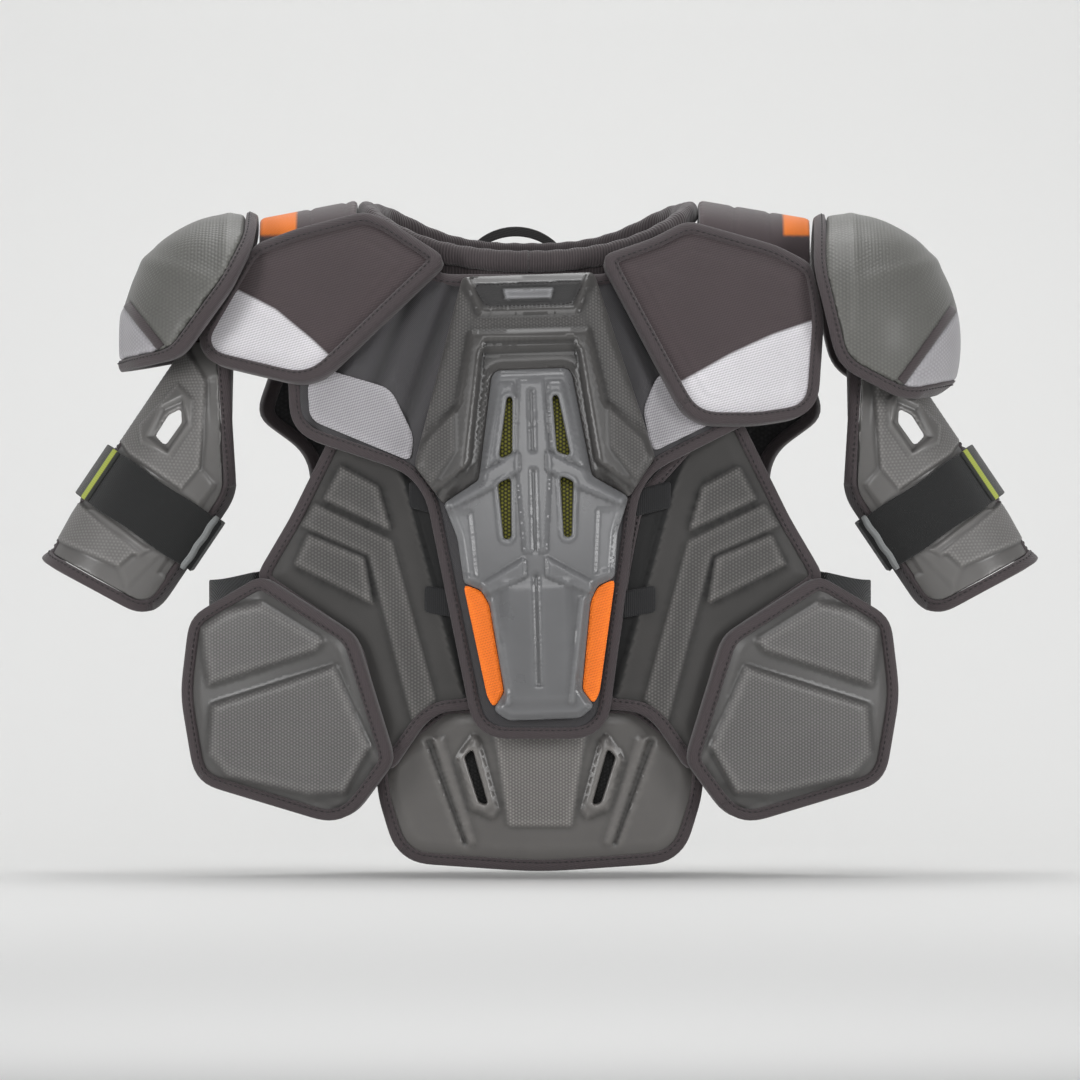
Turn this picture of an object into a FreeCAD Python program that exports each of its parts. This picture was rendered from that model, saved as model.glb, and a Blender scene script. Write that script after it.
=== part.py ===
"""Ice hockey shoulder pads, one STEP file per sub-part, in millimetres.

Frame: the origin is the middle of the neck opening, at the height where the pads rest on the wearer's
shoulders. +Z is up, -Y is the wearer's front and +X is the wearer's left. The trunk pads are cut from flat
patterns (seen from the front, X across and Z up) and laid on a curved chest or back surface in layers.
"""
import FreeCAD
import Part
import math
import os

Vec = FreeCAD.Vector

# ---- Driving dimensions -------------------------------------------------------------------------------
trunk_width = 460.0         # across the two rib guards
trunk_length = 417.0        # shoulder seat down to the lower edge of the belly guard
front_depth = 102.0         # neck axis to the liner at the fullest part of the chest
front_wrap = 58.0           # how far the front falls back at wrap_half from the neck axis
back_depth = 88.0           # neck axis to the back panel at its fullest
back_wrap = 58.0            # how far the back panel comes forward at wrap_half
wrap_half = 230.0           # distance from the neck axis at which both wraps are given
shoulder_inset = 30.0       # the centre of a shoulder cap lies this far inside half the trunk width
shoulder_reach = trunk_width / 2 - shoulder_inset
shoulder_drop = 77.0        # shoulder seat down to the centre of a shoulder cap
arm_spread = 34.0           # degrees between the upper arm and the vertical
neck_shift = -8.0           # the collar and sternum hang this far towards the wearer's right
sternum_lean = 2.1          # degrees that the sternum guard leans from the vertical

# ---- Material thicknesses -----------------------------------------------------------------------------
liner = 1.5
panel = 8.0                 # rib panels and back panel
yoke = 7.0                  # chest yoke foam
guard = 9.5                 # rib guards and kidney guard
belly = 7.2
flap = 10.0
sternum_foam = 11.0
sternum_shell = 7.6
mesh = 0.9                  # knitted mesh and stretch fabric
webbing = 1.1               # flat elastic
badge = 1.6
cap_wall = 8.0
cap_lining = 1.6
arm_wall = 8.0
elastic = 2.2               # arm straps
side_elastic = 2.6          # torso straps
arch = 12.0                 # padding over the shoulder
spine_foam = 12.0
tape = 6.5                  # width of the bound edge on the face of a pad
air = 0.8                   # gap left between layers that move or are not sewn together
skin = 0.3                  # smallest gap between pieces of one body

# ---- Shoulder caps, arm guards and straps ---------------------------------------------------------------
cap_reach = 73.0            # half length of the cap's dome, sideways
cap_radius = 84.5           # front, top and back of the dome, from its centre
cap_rim_gap = 2.0           # between a cap's rim and the pads beside it
arm_clear = 34.5            # between the outside of a cap and the outside of the arm guard under it
arm_radius = cap_radius - arm_clear
arm_inset = 25.0            # arm axis, inwards from the middle of the cap
arm_back = 24.0             # how far behind the arm axis the guard reaches
strap_from = 100.0          # upper edge of the arm strap, down the arm
strap_width = 38.0
strap_flat = 34.0           # the strap turns straight back this far inside the arm axis
tab_front = -30.0           # front edge of the pull tab, from the arm axis
tab_back = 30.0
tab = 2.4
side_strap_top = -224.0     # the torso straps stay clear of the arm guards above them
side_strap_width = 48.0
side_strap_bulge = 213.0    # furthest point of a torso strap from the neck axis

# ---- Collar and hanger loop -----------------------------------------------------------------------------
neck_half = 104.0           # neck axis to the middle of the collar roll, at the shoulder
collar_high = 13.0          # section of the collar roll
collar_deep = 12.0
hinge_y = 10.0              # the front and back halves part here, on top of the shoulder
hinge_z = 15.0
split = 0.5                 # half the gap between the two halves
loop_span = 64.0
loop_rise = 16.5
loop_width = 6.5
loop_thick = 1.6

# ---- Patterns -------------------------------------------------------------------------------------------
# Each corner is (x, z, corner radius) on the pattern, for the wearer's left. The patterns are graded to
# trunk_width and trunk_length. Above ARM_LEVEL, round the neck and armholes, heights stay as drawn.
PATTERN_WIDTH = 460.0
PATTERN_LENGTH = 417.0
ARM_LEVEL = -130.0
grade_x = trunk_width / PATTERN_WIDTH
grade_z = (trunk_length + ARM_LEVEL) / (PATTERN_LENGTH + ARM_LEVEL)
grade_r = min(grade_x, grade_z)

YOKE = [
    (-165, -24, 12), (-160, -136, 23), (-75, -164, 40), (-41, -332, 22),
    (42, -332, 22), (64, -164, 38), (162, -115, 23), (165, -24, 12),
    (58, -24, 8), (46, -35, 16), (-66, -35, 16), (-77, -24, 8),
]
# The collar's curve keeps its own size.
NECK_NOTCH = [(-118, 60, 0), (-118, 10, 4), (-66, -33, 45), (46, -33, 45), (102, 10, 4), (102, 60, 0)]
RIB_PANEL = [
    (123, -116, 3), (160, -191, 90), (183, -230, 4), (121, -272, 14), (99, -357, 3),
    (70, -315, 28), (38, -313, 3), (52, -220, 60), (60, -180, 40), (97, -139, 30),
]
RIB_GUARD = [
    (180, -229, 3), (120, -267, 14), (95, -347, 5), (126, -389, 25),
    (222, -361, 20), (231.5, -305, 80), (225.5, -255.5, 18),
]
RIB_SEAM = ((178, -238), (103, -352))
BELLY_HALF = [(62, -310, 12), (106, -345, 18), (103, -372, 30), (91, -412, 26)]
BELLY_LOW = (0, -418, 300)
BELLY_SLOT = [(49.5, -344.5, 2), (43, -337.5, 2), (32, -377, 2), (40, -374.5, 2)]
FLAPS = {
    "left": [
        (40, -23, 2), (72, -12, 30), (95, 0, 10), (153, -16, 60), (178, -29, 12),
        (182.5, -62, 60), (178, -124, 20), (140, -130, 80), (97, -130, 26),
    ],
    "right": [
        (-61, -24, 2), (-100, 1, 25), (-113, 6, 8), (-157, -5, 60), (-187, -16, 10),
        (-203, -43, 60), (-222, -76, 14), (-213, -90, 14), (-147, -106, 30),
    ],
}
FLAP_SEAMS = {"left": ((46, -23), (178, -29)), "right": ((-66, -24), (-187, -16))}
# The rims of the caps are drawn from the middle of the cap. They hang a little differently on each side.
CAP_RIMS = {
    "left": [(-21, 97, 0), (-23, 48, 70), (-8, -16, 26), (36, -38.5, 34), (90, -27, 0)],
    "right": [(-16, 97, 0), (-16, 68, 40), (-1, 37, 60), (34, -11, 24), (90, -22, 0)],
}
CHEST_MESH = {
    "left": [(150, -88, 8), (140, -80, 6), (76, -98, 16), (66, -122, 16), (72, -149, 2), (150, -111, 10)],
    "right": [
        (-149.5, -105, 7), (-140, -95, 6), (-96, -108, 16), (-81, -139, 18), (-83, -155, 2), (-148, -128, 10),
    ],
}
# The sternum pieces are drawn on their own centre line, from its top at the collar: (x, distance down, r).
STERNUM_TOP = -27.0
STERNUM_FOAM_HALF = [(42, 8, 2), (77, 128, 4), (58.5, 154, 2)]
STERNUM_SHELL_HALF = [
    (25, 69, 6), (36, 139, 2), (59, 153, 2), (51, 175, 30), (48, 204, 2), (37, 209, 4),
    (32, 219, 6), (24.5, 275, 3), (32, 286, 2), (23, 293, 8),
]
ORANGE_MESH = [(48.6, 205, 1), (37.4, 209.8, 4), (32.6, 219, 6), (25.2, 275, 3), (32, 285, 1), (36, 277, 4)]
UPPER_VENT = [(12.5, 86, 2), (16.5, 85.5, 2), (23.5, 126.5, 2), (14, 122.5, 2)]
LOWER_VENT = [(15.5, 137, 2), (24.5, 141.5, 2), (22, 178, 2), (16.5, 177, 2)]
VENT_MESH_HALF = [(24, 82, 3), (28, 132, 3), (27, 184, 3)]
BADGE_HALF = [(38, 12, 2), (29, 29, 4)]
TETHERS = [((60, -182), (84, -176)), ((52, -247), (74, -243))]
TETHER_WIDTH = 17.0
BACK_PANEL_HALF = [
    (118, -27, 8), (162, -40, 14), (172, -84, 20), (186, -124, 12), (150, -150, 30),
    (150, -285, 18), (104, -318, 18),
]
SPINE_HALF = [(22, -34, 6), (34, -90, 20), (28, -200, 40), (34, -300, 10)]
SCAPULA = [(52, -44, 8), (142, -50, 14), (160, -88, 12), (164, -114, 8), (58, -150, 12), (44, -96, 30)]
KIDNEY_HALF = [(92, -256, 14), (136, -286, 18), (128, -352, 26), (40, -372, 20)]
BACK_RIB = [(50, -166, 8), (134, -160, 12), (136, -236, 12), (46, -246, 8)]


def lowered(z):
    """The height of a pattern point once the trunk below the armholes is stretched to its length."""
    return z if z > ARM_LEVEL else ARM_LEVEL + (z - ARM_LEVEL) * grade_z


def on_pattern(z):
    """The pattern height that lowered() brings to height z."""
    return z if z > ARM_LEVEL else ARM_LEVEL + (z - ARM_LEVEL) / grade_z


def graded(points):
    return [(x * grade_x, lowered(z), r * grade_r) for x, z, r in points]


def mirrored(points):
    """The same corners for the other side."""
    return [(-x, z, r) for x, z, r in reversed(points)]


def both_halves(half, middle=()):
    """A whole outline from its left half, top to bottom, and any corners on the centre line."""
    return list(half) + list(middle) + mirrored(half)


def turned(points, down=True):
    """Corners drawn on the sternum's centre line, placed on the leaning, shifted sternum."""
    angle = math.radians(sternum_lean)
    out = []
    for x, fall, r in points:
        x, r = x * grade_x, r * grade_r
        along = lowered(STERNUM_TOP - fall * (1 if down else -1)) - STERNUM_TOP
        out.append((
            neck_shift + x * math.cos(angle) - along * math.sin(angle),
            STERNUM_TOP + along * math.cos(angle) + x * math.sin(angle), r))
    return out


def area_sign(points):
    total = 0.0
    for (x0, z0, _), (x1, z1, _) in zip(points, points[1:] + points[:1]):
        total += x0 * z1 - x1 * z0
    return 1.0 if total > 0 else -1.0


def inset(points, distance):
    """The same outline moved inwards by distance (outwards if negative), with its radii to suit."""
    sign = area_sign(points)
    count = len(points)
    out = []
    for i in range(count):
        before, here, after = points[i - 1], points[i], points[(i + 1) % count]
        normals = []
        for a, b in ((before, here), (here, after)):
            length = math.hypot(b[0] - a[0], b[1] - a[1])
            normals.append((-(b[1] - a[1]) / length * sign, (b[0] - a[0]) / length * sign))
        (nx0, nz0), (nx1, nz1) = normals
        scale = distance / (1 + nx0 * nx1 + nz0 * nz1)
        turn = (nx0 * nz1 - nz0 * nx1) * sign
        radius = here[2] - distance if turn > 0 else here[2] + distance
        out.append((here[0] + (nx0 + nx1) * scale, here[1] + (nz0 + nz1) * scale, max(radius, 0.0)))
    return out


def outline_wire(points, y=0.0):
    """A closed wire of straight edges and tangent arcs, in the plane at y."""
    count = len(points)
    corners = []
    for i in range(count):
        (x0, z0, _), (x1, z1, radius), (x2, z2, _) = points[i - 1], points[i], points[(i + 1) % count]
        here = Vec(x1, y, z1)
        back, ahead = Vec(x0, y, z0) - here, Vec(x2, y, z2) - here
        half_turn = (math.pi - back.getAngle(ahead)) / 2
        room = 0.49 * min(back.Length, ahead.Length)
        cut = min(radius * math.tan(half_turn), room)
        if cut < 0.05:
            corners.append((here, None, here))
            continue
        radius = cut / math.tan(half_turn)
        back.normalize()
        ahead.normalize()
        middle_way = (back + ahead).normalize()
        middle = here + middle_way * (radius / math.cos(half_turn) - radius)
        corners.append((here + back * cut, middle, here + ahead * cut))
    edges = []
    for i in range(count):
        start, middle, end = corners[i]
        if middle is not None:
            edges.append(Part.Arc(start, middle, end).toShape())
        following = corners[(i + 1) % count][0]
        if (following - end).Length > 1e-4:
            edges.append(Part.LineSegment(end, following).toShape())
    return Part.Wire(edges)


def prism(points, y0=-260.0, y1=260.0):
    """The outline as a bar that runs from front to back."""
    return Part.Face(outline_wire(points, y0)).extrude(Vec(0, y1 - y0, 0))


def one_sided_fall(z, peak, above, below):
    """How far the trunk surface falls back at height z: a parabola above and below its fullest height."""
    away = on_pattern(z) - peak
    return away * away * (above if away > 0 else below)


def front_y(x, z):
    fall = one_sided_fall(z, -250.0, 0.00083, 0.00036)
    return -front_depth + fall + front_wrap * (x / wrap_half) ** 2


def back_y(x, z):
    fall = one_sided_fall(z, -170.0, 0.00097, 0.0003)
    return back_depth - fall - back_wrap * (x / wrap_half) ** 2


def trunk_face(surface_y):
    """The chest or back surface as one smooth face."""
    across, up = 11, 13
    half, low, high = 0.56 * trunk_width, -1.06 * trunk_length, 0.09 * trunk_length
    rows = []
    for i in range(across):
        x = -half + 2 * half * i / (across - 1)
        heights = [low + (high - low) * k / (up - 1) for k in range(up)]
        rows.append([Vec(x, surface_y(x, z), z) for z in heights])
    surface = Part.BSplineSurface()
    surface.interpolate(rows)
    return surface.toShape()


front_face = trunk_face(front_y)
back_face = trunk_face(back_y)


def front_layer(start, thickness):
    """A layer of the front, from start to start + thickness outwards from the liner's inner face."""
    return front_face.translated(Vec(0, -start, 0)).extrude(Vec(0, -thickness, 0))


def back_layer(start, thickness):
    return back_face.translated(Vec(0, start, 0)).extrude(Vec(0, thickness, 0))


def pad_and_tape(points, layer, holes=()):
    """A pad cut from a layer, and the bound edge round it."""
    whole = layer.common(prism(points))
    core = whole.common(prism(inset(points, tape + skin)))
    edge = whole.cut(prism(inset(points, tape)))
    for hole in holes:
        core = core.cut(hole)
    return core, edge


# Where each layer of the front starts, outwards from the inner face of the liner.
AT_PANEL = liner
AT_TETHER = AT_PANEL + panel + skin
AT_YOKE = AT_TETHER + webbing + skin
AT_TOP = AT_YOKE + yoke + skin
AT_FLAP = AT_TOP + mesh + air
AT_GUARD = AT_PANEL + panel + air
AT_SHELL = AT_TOP + mesh + skin
AT_BELLY = -belly - air

parts = {}


def keep(name, *shapes):
    """Stores a node: one or more closed solids."""
    solids = []
    for shape in shapes:
        solids.extend(shape.Solids)
    if not solids:
        raise ValueError(f"{name} has no solid")
    for solid in solids:
        if not solid.isValid() or solid.Volume <= 0:
            raise ValueError(f"{name} holds a solid that is not valid")
    parts[name] = solids[0] if len(solids) == 1 else Part.makeCompound(solids)


# ---- Placement of the arms ------------------------------------------------------------------------------
def cap_points(side):
    """Front view outline of a shoulder cap: open towards the neck and the ground."""
    corners = CAP_RIMS[side] + [(90, 97, 0)]
    points = [(shoulder_reach + x, z - shoulder_drop, r) for x, z, r in corners]
    return points if side == "left" else mirrored(points)


def arm_frame(sign):
    """The arm axis: a point on it level with the cap's middle, the way down it, and the way inwards."""
    spread = math.radians(arm_spread)
    down = Vec(sign * math.sin(spread), 0, -math.cos(spread))
    inwards = Vec(-sign * math.cos(spread), 0, -math.sin(spread))
    start = Vec(sign * shoulder_reach, 0, -shoulder_drop) + inwards * arm_inset
    return start, down, inwards


def arm_points(sign, local):
    """Corners given as (inwards from the arm axis, down the arm, radius), in the front view."""
    start, down, inwards = arm_frame(sign)
    out = []
    for across, along, radius in local:
        place = start + inwards * across + down * along
        out.append((place.x, place.z, radius))
    return out


def beyond(place, way):
    """A large block that starts at a place and lies on one side of it."""
    block = Part.makeBox(400, 800, 800, Vec(0, -400, -400))
    block.Placement = FreeCAD.Placement(place, FreeCAD.Rotation(Vec(1, 0, 0), way))
    return block


def arm_tube(sign, inner, outer, first, length):
    start, down, _ = arm_frame(sign)
    base = start + down * first
    return Part.makeCylinder(outer, length, base, down).cut(Part.makeCylinder(inner, length, base, down))


# ---- Front: yoke, sternum and chest ---------------------------------------------------------------------
def make_yoke():
    core, edge = pad_and_tape(graded(YOKE), front_layer(AT_YOKE, yoke))
    keep("chest_yoke", core)
    keep("chest_yoke_binding", edge)


def make_sternum():
    foam = turned(both_halves(STERNUM_FOAM_HALF))
    shell = turned(both_halves(STERNUM_SHELL_HALF))
    notch = prism(inset(NECK_NOTCH, -skin))
    badge_points = turned(both_halves(BADGE_HALF))
    foam_solid = front_layer(AT_TOP, sternum_foam).common(prism(foam))
    foam_solid = foam_solid.cut(prism(inset(shell, -skin))).cut(notch)
    recess = front_layer(AT_TOP + sternum_foam - badge, 2 * badge).common(prism(inset(badge_points, -skin)))
    keep("sternum_foam", foam_solid.cut(recess))
    plate = front_layer(AT_TOP + sternum_foam - badge + skin, badge - skin)
    keep("sternum_badge", plate.common(prism(badge_points)).cut(notch))
    shell_solid = front_layer(AT_SHELL, sternum_shell).common(prism(shell))
    for vent in (UPPER_VENT, LOWER_VENT):
        for points in (vent, mirrored(vent)):
            shell_solid = shell_solid.cut(prism(turned(points)))
    keep("sternum_shell", shell_solid)
    vent_mesh = turned(both_halves(VENT_MESH_HALF))
    keep("sternum_vent_mesh", front_layer(AT_TOP, mesh).common(prism(vent_mesh)))
    strips = [front_layer(AT_TOP, sternum_shell - air).common(prism(turned(points)))
              for points in (ORANGE_MESH, mirrored(ORANGE_MESH))]
    keep("sternum_side_mesh", *strips)


def make_chest_fabric(side):
    clear_of_foam = prism(inset(turned(both_halves(STERNUM_FOAM_HALF)), -skin))
    patch = front_layer(AT_TOP, mesh).common(prism(graded(CHEST_MESH[side])))
    keep(f"{side}_chest_mesh", patch.cut(clear_of_foam))


def make_rib_side(side, sign):
    def sided(points):
        return graded(points) if sign > 0 else mirrored(graded(points))

    core, edge = pad_and_tape(sided(RIB_PANEL), front_layer(AT_PANEL, panel))
    keep(f"{side}_rib_panel", core)
    keep(f"{side}_rib_panel_binding", edge)
    keep(f"{side}_rib_liner", front_layer(0, liner - skin).common(prism(sided(inset(RIB_PANEL, tape)))))
    core, edge = pad_and_tape(sided(RIB_GUARD), front_layer(AT_GUARD, guard))
    keep(f"{side}_rib_guard", core)
    keep(f"{side}_rib_guard_binding", edge)


def make_tethers():
    strips = []
    for (x0, z0), (x1, z1) in TETHERS:
        for sign in (1, -1):
            points = [(x0, z0 + TETHER_WIDTH / 2, 1), (x1, z1 + TETHER_WIDTH / 2, 1),
                      (x1, z1 - TETHER_WIDTH / 2, 1), (x0, z0 - TETHER_WIDTH / 2, 1)]
            points = graded(points) if sign > 0 else mirrored(graded(points))
            strips.append(front_layer(AT_TETHER, webbing).common(prism(points)))
    keep("yoke_tethers", *strips)


def make_belly():
    points = graded(both_halves(BELLY_HALF, [BELLY_LOW]))
    slots = [prism(graded(BELLY_SLOT)), prism(mirrored(graded(BELLY_SLOT)))]
    core, edge = pad_and_tape(points, front_layer(AT_BELLY, belly), slots)
    keep("belly_guard", core)
    keep("belly_guard_binding", edge)


def make_flap(side):
    rim = prism(inset(cap_points(side), -cap_rim_gap))
    whole_layer = front_layer(AT_FLAP, flap).cut(rim)
    core, edge = pad_and_tape(graded(FLAPS[side]), whole_layer)
    keep(f"{side}_clavicle_flap", core)
    keep(f"{side}_clavicle_flap_binding", edge)


# ---- Shoulder: caps, arches and collar ------------------------------------------------------------------
def spheroid(sign, reach, radius):
    """A ball stretched or squeezed along X, centred on the shoulder."""
    points = []
    steps = 12
    for i in range(steps + 1):
        angle = math.pi * i / steps
        points.append(Vec(reach * math.cos(angle), 0, radius * math.sin(angle)))
    curve = Part.BSplineCurve()
    curve.interpolate(Points=points, InitialTangent=Vec(0, 0, 1), FinalTangent=Vec(0, 0, -1))
    edge = curve.toShape()
    axis = Part.LineSegment(points[-1], points[0]).toShape()
    solid = Part.Face(Part.Wire([edge, axis])).revolve(Vec(0, 0, 0), Vec(1, 0, 0), 360)
    solid = Part.Solid(solid) if solid.ShapeType != "Solid" else solid
    return solid.translated(Vec(sign * shoulder_reach, 0, -shoulder_drop))


def make_cap(side, sign):
    outer = spheroid(sign, cap_reach, cap_radius)
    inner = spheroid(sign, cap_reach - cap_wall, cap_radius - cap_wall)
    inside = cap_wall + 2 * skin
    cover = spheroid(sign, cap_reach - inside, cap_radius - inside)
    lining = spheroid(sign, cap_reach - inside - cap_lining, cap_radius - inside - cap_lining)
    shell = outer.cut(inner)
    points = cap_points(side)
    keep(f"{side}_shoulder_cap", shell.common(prism(inset(points, tape + skin))))
    keep(f"{side}_shoulder_cap_binding", shell.common(prism(points)).cut(prism(inset(points, tape))))
    keep(f"{side}_shoulder_cap_lining", cover.cut(lining).common(prism(inset(points, tape / 2))))


def arch_profile(outer_end, front):
    """Upper surface of the shoulder arch, front to hinge or hinge to back, as (y, z) points."""
    if front:
        points = [(-51, -21), (-48, -8), (-40, 3), (-24, 11), (-6, 14.6), (hinge_y - split, hinge_z)]
        squeeze = 0.6
    else:
        points = [(hinge_y + split, hinge_z), (30, 13.5), (52, 7), (66, -4), (72, -18)]
        squeeze = 0.72
    if not outer_end:
        return points
    fixed = hinge_y
    return [(fixed + (y - fixed) * squeeze, z - 12) for y, z in points]


def arch_section(x, points):
    """The profile and the same line an arch's thickness below it, closed into a wire."""
    top = [Vec(x, y, z) for y, z in points]
    under = []
    for i, (y, z) in enumerate(points):
        y0, z0 = points[max(i - 1, 0)]
        y1, z1 = points[min(i + 1, len(points) - 1)]
        length = math.hypot(y1 - y0, z1 - z0)
        under.append(Vec(x, y + (z1 - z0) / length * arch, z - (y1 - y0) / length * arch))
    upper, lower = Part.BSplineCurve(), Part.BSplineCurve()
    upper.interpolate(top)
    lower.interpolate(under[::-1])
    return Part.Wire([upper.toShape(), Part.LineSegment(top[-1], under[-1]).toShape(),
                      lower.toShape(), Part.LineSegment(under[0], top[0]).toShape()])


def make_arch(side, sign, front):
    inner_x = neck_shift + sign * (neck_half + collar_deep / 2 + air)
    outer_x = sign * (shoulder_reach + min(x for x, _, _ in CAP_RIMS[side]) - cap_rim_gap)
    sections = [arch_section(inner_x, arch_profile(False, front)),
                arch_section(outer_x, arch_profile(True, front))]
    name = f"{side}_shoulder_arch" if front else f"{side}_back_arch"
    seam = beyond(Vec(0, hinge_y + (-split if front else split), 0), Vec(0, 1 if front else -1, 0))
    keep(name, Part.makeLoft(sections, True, True).cut(seam))


def collar_path(front):
    """Middle of the collar roll from the wearer's left shoulder round to the right, as (x, y, z)."""
    if front:
        half = [(neck_half, hinge_y - split - 0.2, 8), (neck_half - 1, -14, 6), (92, -38, -3),
                (64, -58, -17), (32, -68, -24)]
        middle = (0, -71, -26)
    else:
        half = [(neck_half, hinge_y + split + 0.2, 8), (neck_half - 2, 30, 7), (88, 54, 3.5),
                (58, 68, -10), (28, 75, -16.5)]
        middle = (0, 77, -17.5)
    right = [(-x, y, z) for x, y, z in reversed(half)]
    return [Vec(neck_shift + x, y, z) for x, y, z in half + [middle] + right]


def make_collar(front):
    path = collar_path(front)
    sections = []
    for i, place in enumerate(path):
        ahead = path[min(i + 1, len(path) - 1)] - path[max(i - 1, 0)]
        ahead.z = 0
        if i in (0, len(path) - 1):
            ahead = Vec(0, 1, 0) if (i == 0) != front else Vec(0, -1, 0)
        ahead.normalize()
        side_way = Vec(-ahead.y, ahead.x, 0)
        ring = []
        for k in range(4):
            angle = math.pi / 2 * k
            across = side_way * (math.cos(angle) * collar_deep / 2)
            ring.append(place + across + Vec(0, 0, math.sin(angle) * collar_high / 2))
        curve = Part.BSplineCurve()
        curve.interpolate(Points=ring, PeriodicFlag=True)
        sections.append(Part.Wire([curve.toShape()]))
    keep("front_collar" if front else "back_collar", Part.makeLoft(sections, True, False))


def make_hanger_loop():
    """Webbing bent into a low arch with its face to the front, both ends sewn behind the back collar."""
    y = 77 + collar_deep / 2 + skin
    foot = -16.0
    centre_x = 2 * neck_shift
    half, low_rise = loop_span / 2, loop_rise - loop_width
    outer = Part.Arc(Vec(centre_x - half, y, foot), Vec(centre_x, y, foot + loop_rise),
                     Vec(centre_x + half, y, foot)).toShape()
    inner = Part.Arc(Vec(centre_x + half - loop_width, y, foot), Vec(centre_x, y, foot + low_rise),
                     Vec(centre_x - half + loop_width, y, foot)).toShape()
    ends = [Part.LineSegment(outer.Vertexes[1].Point, inner.Vertexes[0].Point).toShape(),
            Part.LineSegment(inner.Vertexes[1].Point, outer.Vertexes[0].Point).toShape()]
    keep("hanger_loop", Part.Face(Part.Wire([outer, ends[0], inner, ends[1]])).extrude(Vec(0, loop_thick, 0)))


# ---- Arm guards and straps ------------------------------------------------------------------------------
def make_arm(side, sign):
    guard_local = [(-32, -6, 3), (-19, 12, 3), (33, 80, 30), (33, 178, 18), (-50.5, 186, 6), (-54, 150, 3),
                   (-54, 12, 3)]
    slot_local = [(-27, 53, 1.5), (-21, 61, 2.5), (-21.5, 80, 2), (-31.5, 78, 2), (-32, 62, 2.5)]
    points = arm_points(sign, guard_local)
    tube = arm_tube(sign, arm_radius - arm_wall, arm_radius, 0, 200)
    front_block = Part.makeBox(800, arm_back + 200, 800, Vec(-400, -200, -600))
    tube = tube.common(front_block)
    slot_bar = prism(arm_points(sign, slot_local), -200, 0)
    keep(f"{side}_arm_guard", tube.common(prism(inset(points, tape + skin))).cut(slot_bar))
    keep(f"{side}_arm_guard_binding", tube.common(prism(points)).cut(prism(inset(points, tape))))
    start, down, inwards = arm_frame(sign)
    base = start + down * strap_from

    def d_bar(radius, flat):
        return Part.makeCylinder(radius, strap_width, base, down).cut(beyond(base + inwards * flat, inwards))

    inside = arm_radius + skin
    strap = d_bar(inside + elastic, strap_flat + elastic).cut(d_bar(inside, strap_flat))
    keep(f"{side}_arm_strap", strap)
    ring = arm_tube(sign, inside + elastic + skin, inside + elastic + skin + tab, strap_from, strap_width)
    middle = Part.makeBox(800, tab_back - tab_front, 800, Vec(-400, tab_front, -600))
    keep(f"{side}_strap_tab", ring.common(middle).common(beyond(base, inwards * -1)))


# ---- Back -----------------------------------------------------------------------------------------------
def make_back():
    top = panel + skin
    points = graded(both_halves(BACK_PANEL_HALF))
    core, edge = pad_and_tape(points, back_layer(0, panel))
    keep("back_panel", core)
    keep("back_panel_binding", edge)
    spine = graded(both_halves(SPINE_HALF))
    keep("spine_guard", back_layer(top, spine_foam).common(prism(spine)))
    clear_spine = prism(inset(spine, -air))
    for side, sign in (("left", 1), ("right", -1)):
        for name, pattern in (("scapula_pad", SCAPULA), ("back_rib_pad", BACK_RIB)):
            points = graded(pattern) if sign > 0 else mirrored(graded(pattern))
            keep(f"{side}_{name}", back_layer(top, panel).common(prism(points)).cut(clear_spine))
    points = graded(both_halves(KIDNEY_HALF))
    start = panel + air + spine_foam
    core, edge = pad_and_tape(points, back_layer(start, guard))
    keep("kidney_guard", core)
    keep("kidney_guard_binding", edge)


def make_side_strap(side, sign):
    """Elastic band from the edge of the back panel round the ribs to behind the rib panel."""
    top = side_strap_top
    middle_z = top - side_strap_width / 2
    back_x = (150 + 4) * grade_x
    front_x = 184 * grade_x
    back_end = Vec(sign * back_x, back_y(back_x, middle_z) + panel / 2, top)
    front_end = Vec(sign * front_x, front_y(front_x, middle_z) + side_elastic + 3, top)
    bulge = Vec(sign * side_strap_bulge * grade_x, (back_end.y + front_end.y) / 2 + 4, top)
    circle = Part.Arc(back_end, bulge, front_end).toShape().Curve
    centre, radius = circle.Center, circle.Radius

    def along(point, distance):
        return centre + (point - centre) * ((radius + distance) / radius)

    half = side_elastic / 2
    outer = Part.Arc(*[along(p, half) for p in (back_end, bulge, front_end)]).toShape()
    inner = Part.Arc(*[along(p, -half) for p in (front_end, bulge, back_end)]).toShape()
    ends = [Part.LineSegment(along(front_end, half), along(front_end, -half)).toShape(),
            Part.LineSegment(along(back_end, -half), along(back_end, half)).toShape()]
    face = Part.Face(Part.Wire([outer, ends[0], inner, ends[1]]))
    keep(f"{side}_torso_strap", face.extrude(Vec(0, 0, -side_strap_width)))


make_yoke()
make_sternum()
make_tethers()
make_belly()
make_collar(True)
make_collar(False)
make_hanger_loop()
make_back()
for side, sign in (("left", 1), ("right", -1)):
    make_chest_fabric(side)
    make_rib_side(side, sign)
    make_flap(side)
    make_cap(side, sign)
    make_arch(side, sign, True)
    make_arch(side, sign, False)
    make_arm(side, sign)
    make_side_strap(side, sign)

os.makedirs("parts", exist_ok=True)
for name, shape in parts.items():
    shape.exportStep(f"parts/{name}.step")
print(len(parts), "nodes")
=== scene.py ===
import bmesh
import bpy
import math
import numpy as np
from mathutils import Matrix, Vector, geometry
from mathutils.bvhtree import BVHTree


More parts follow.
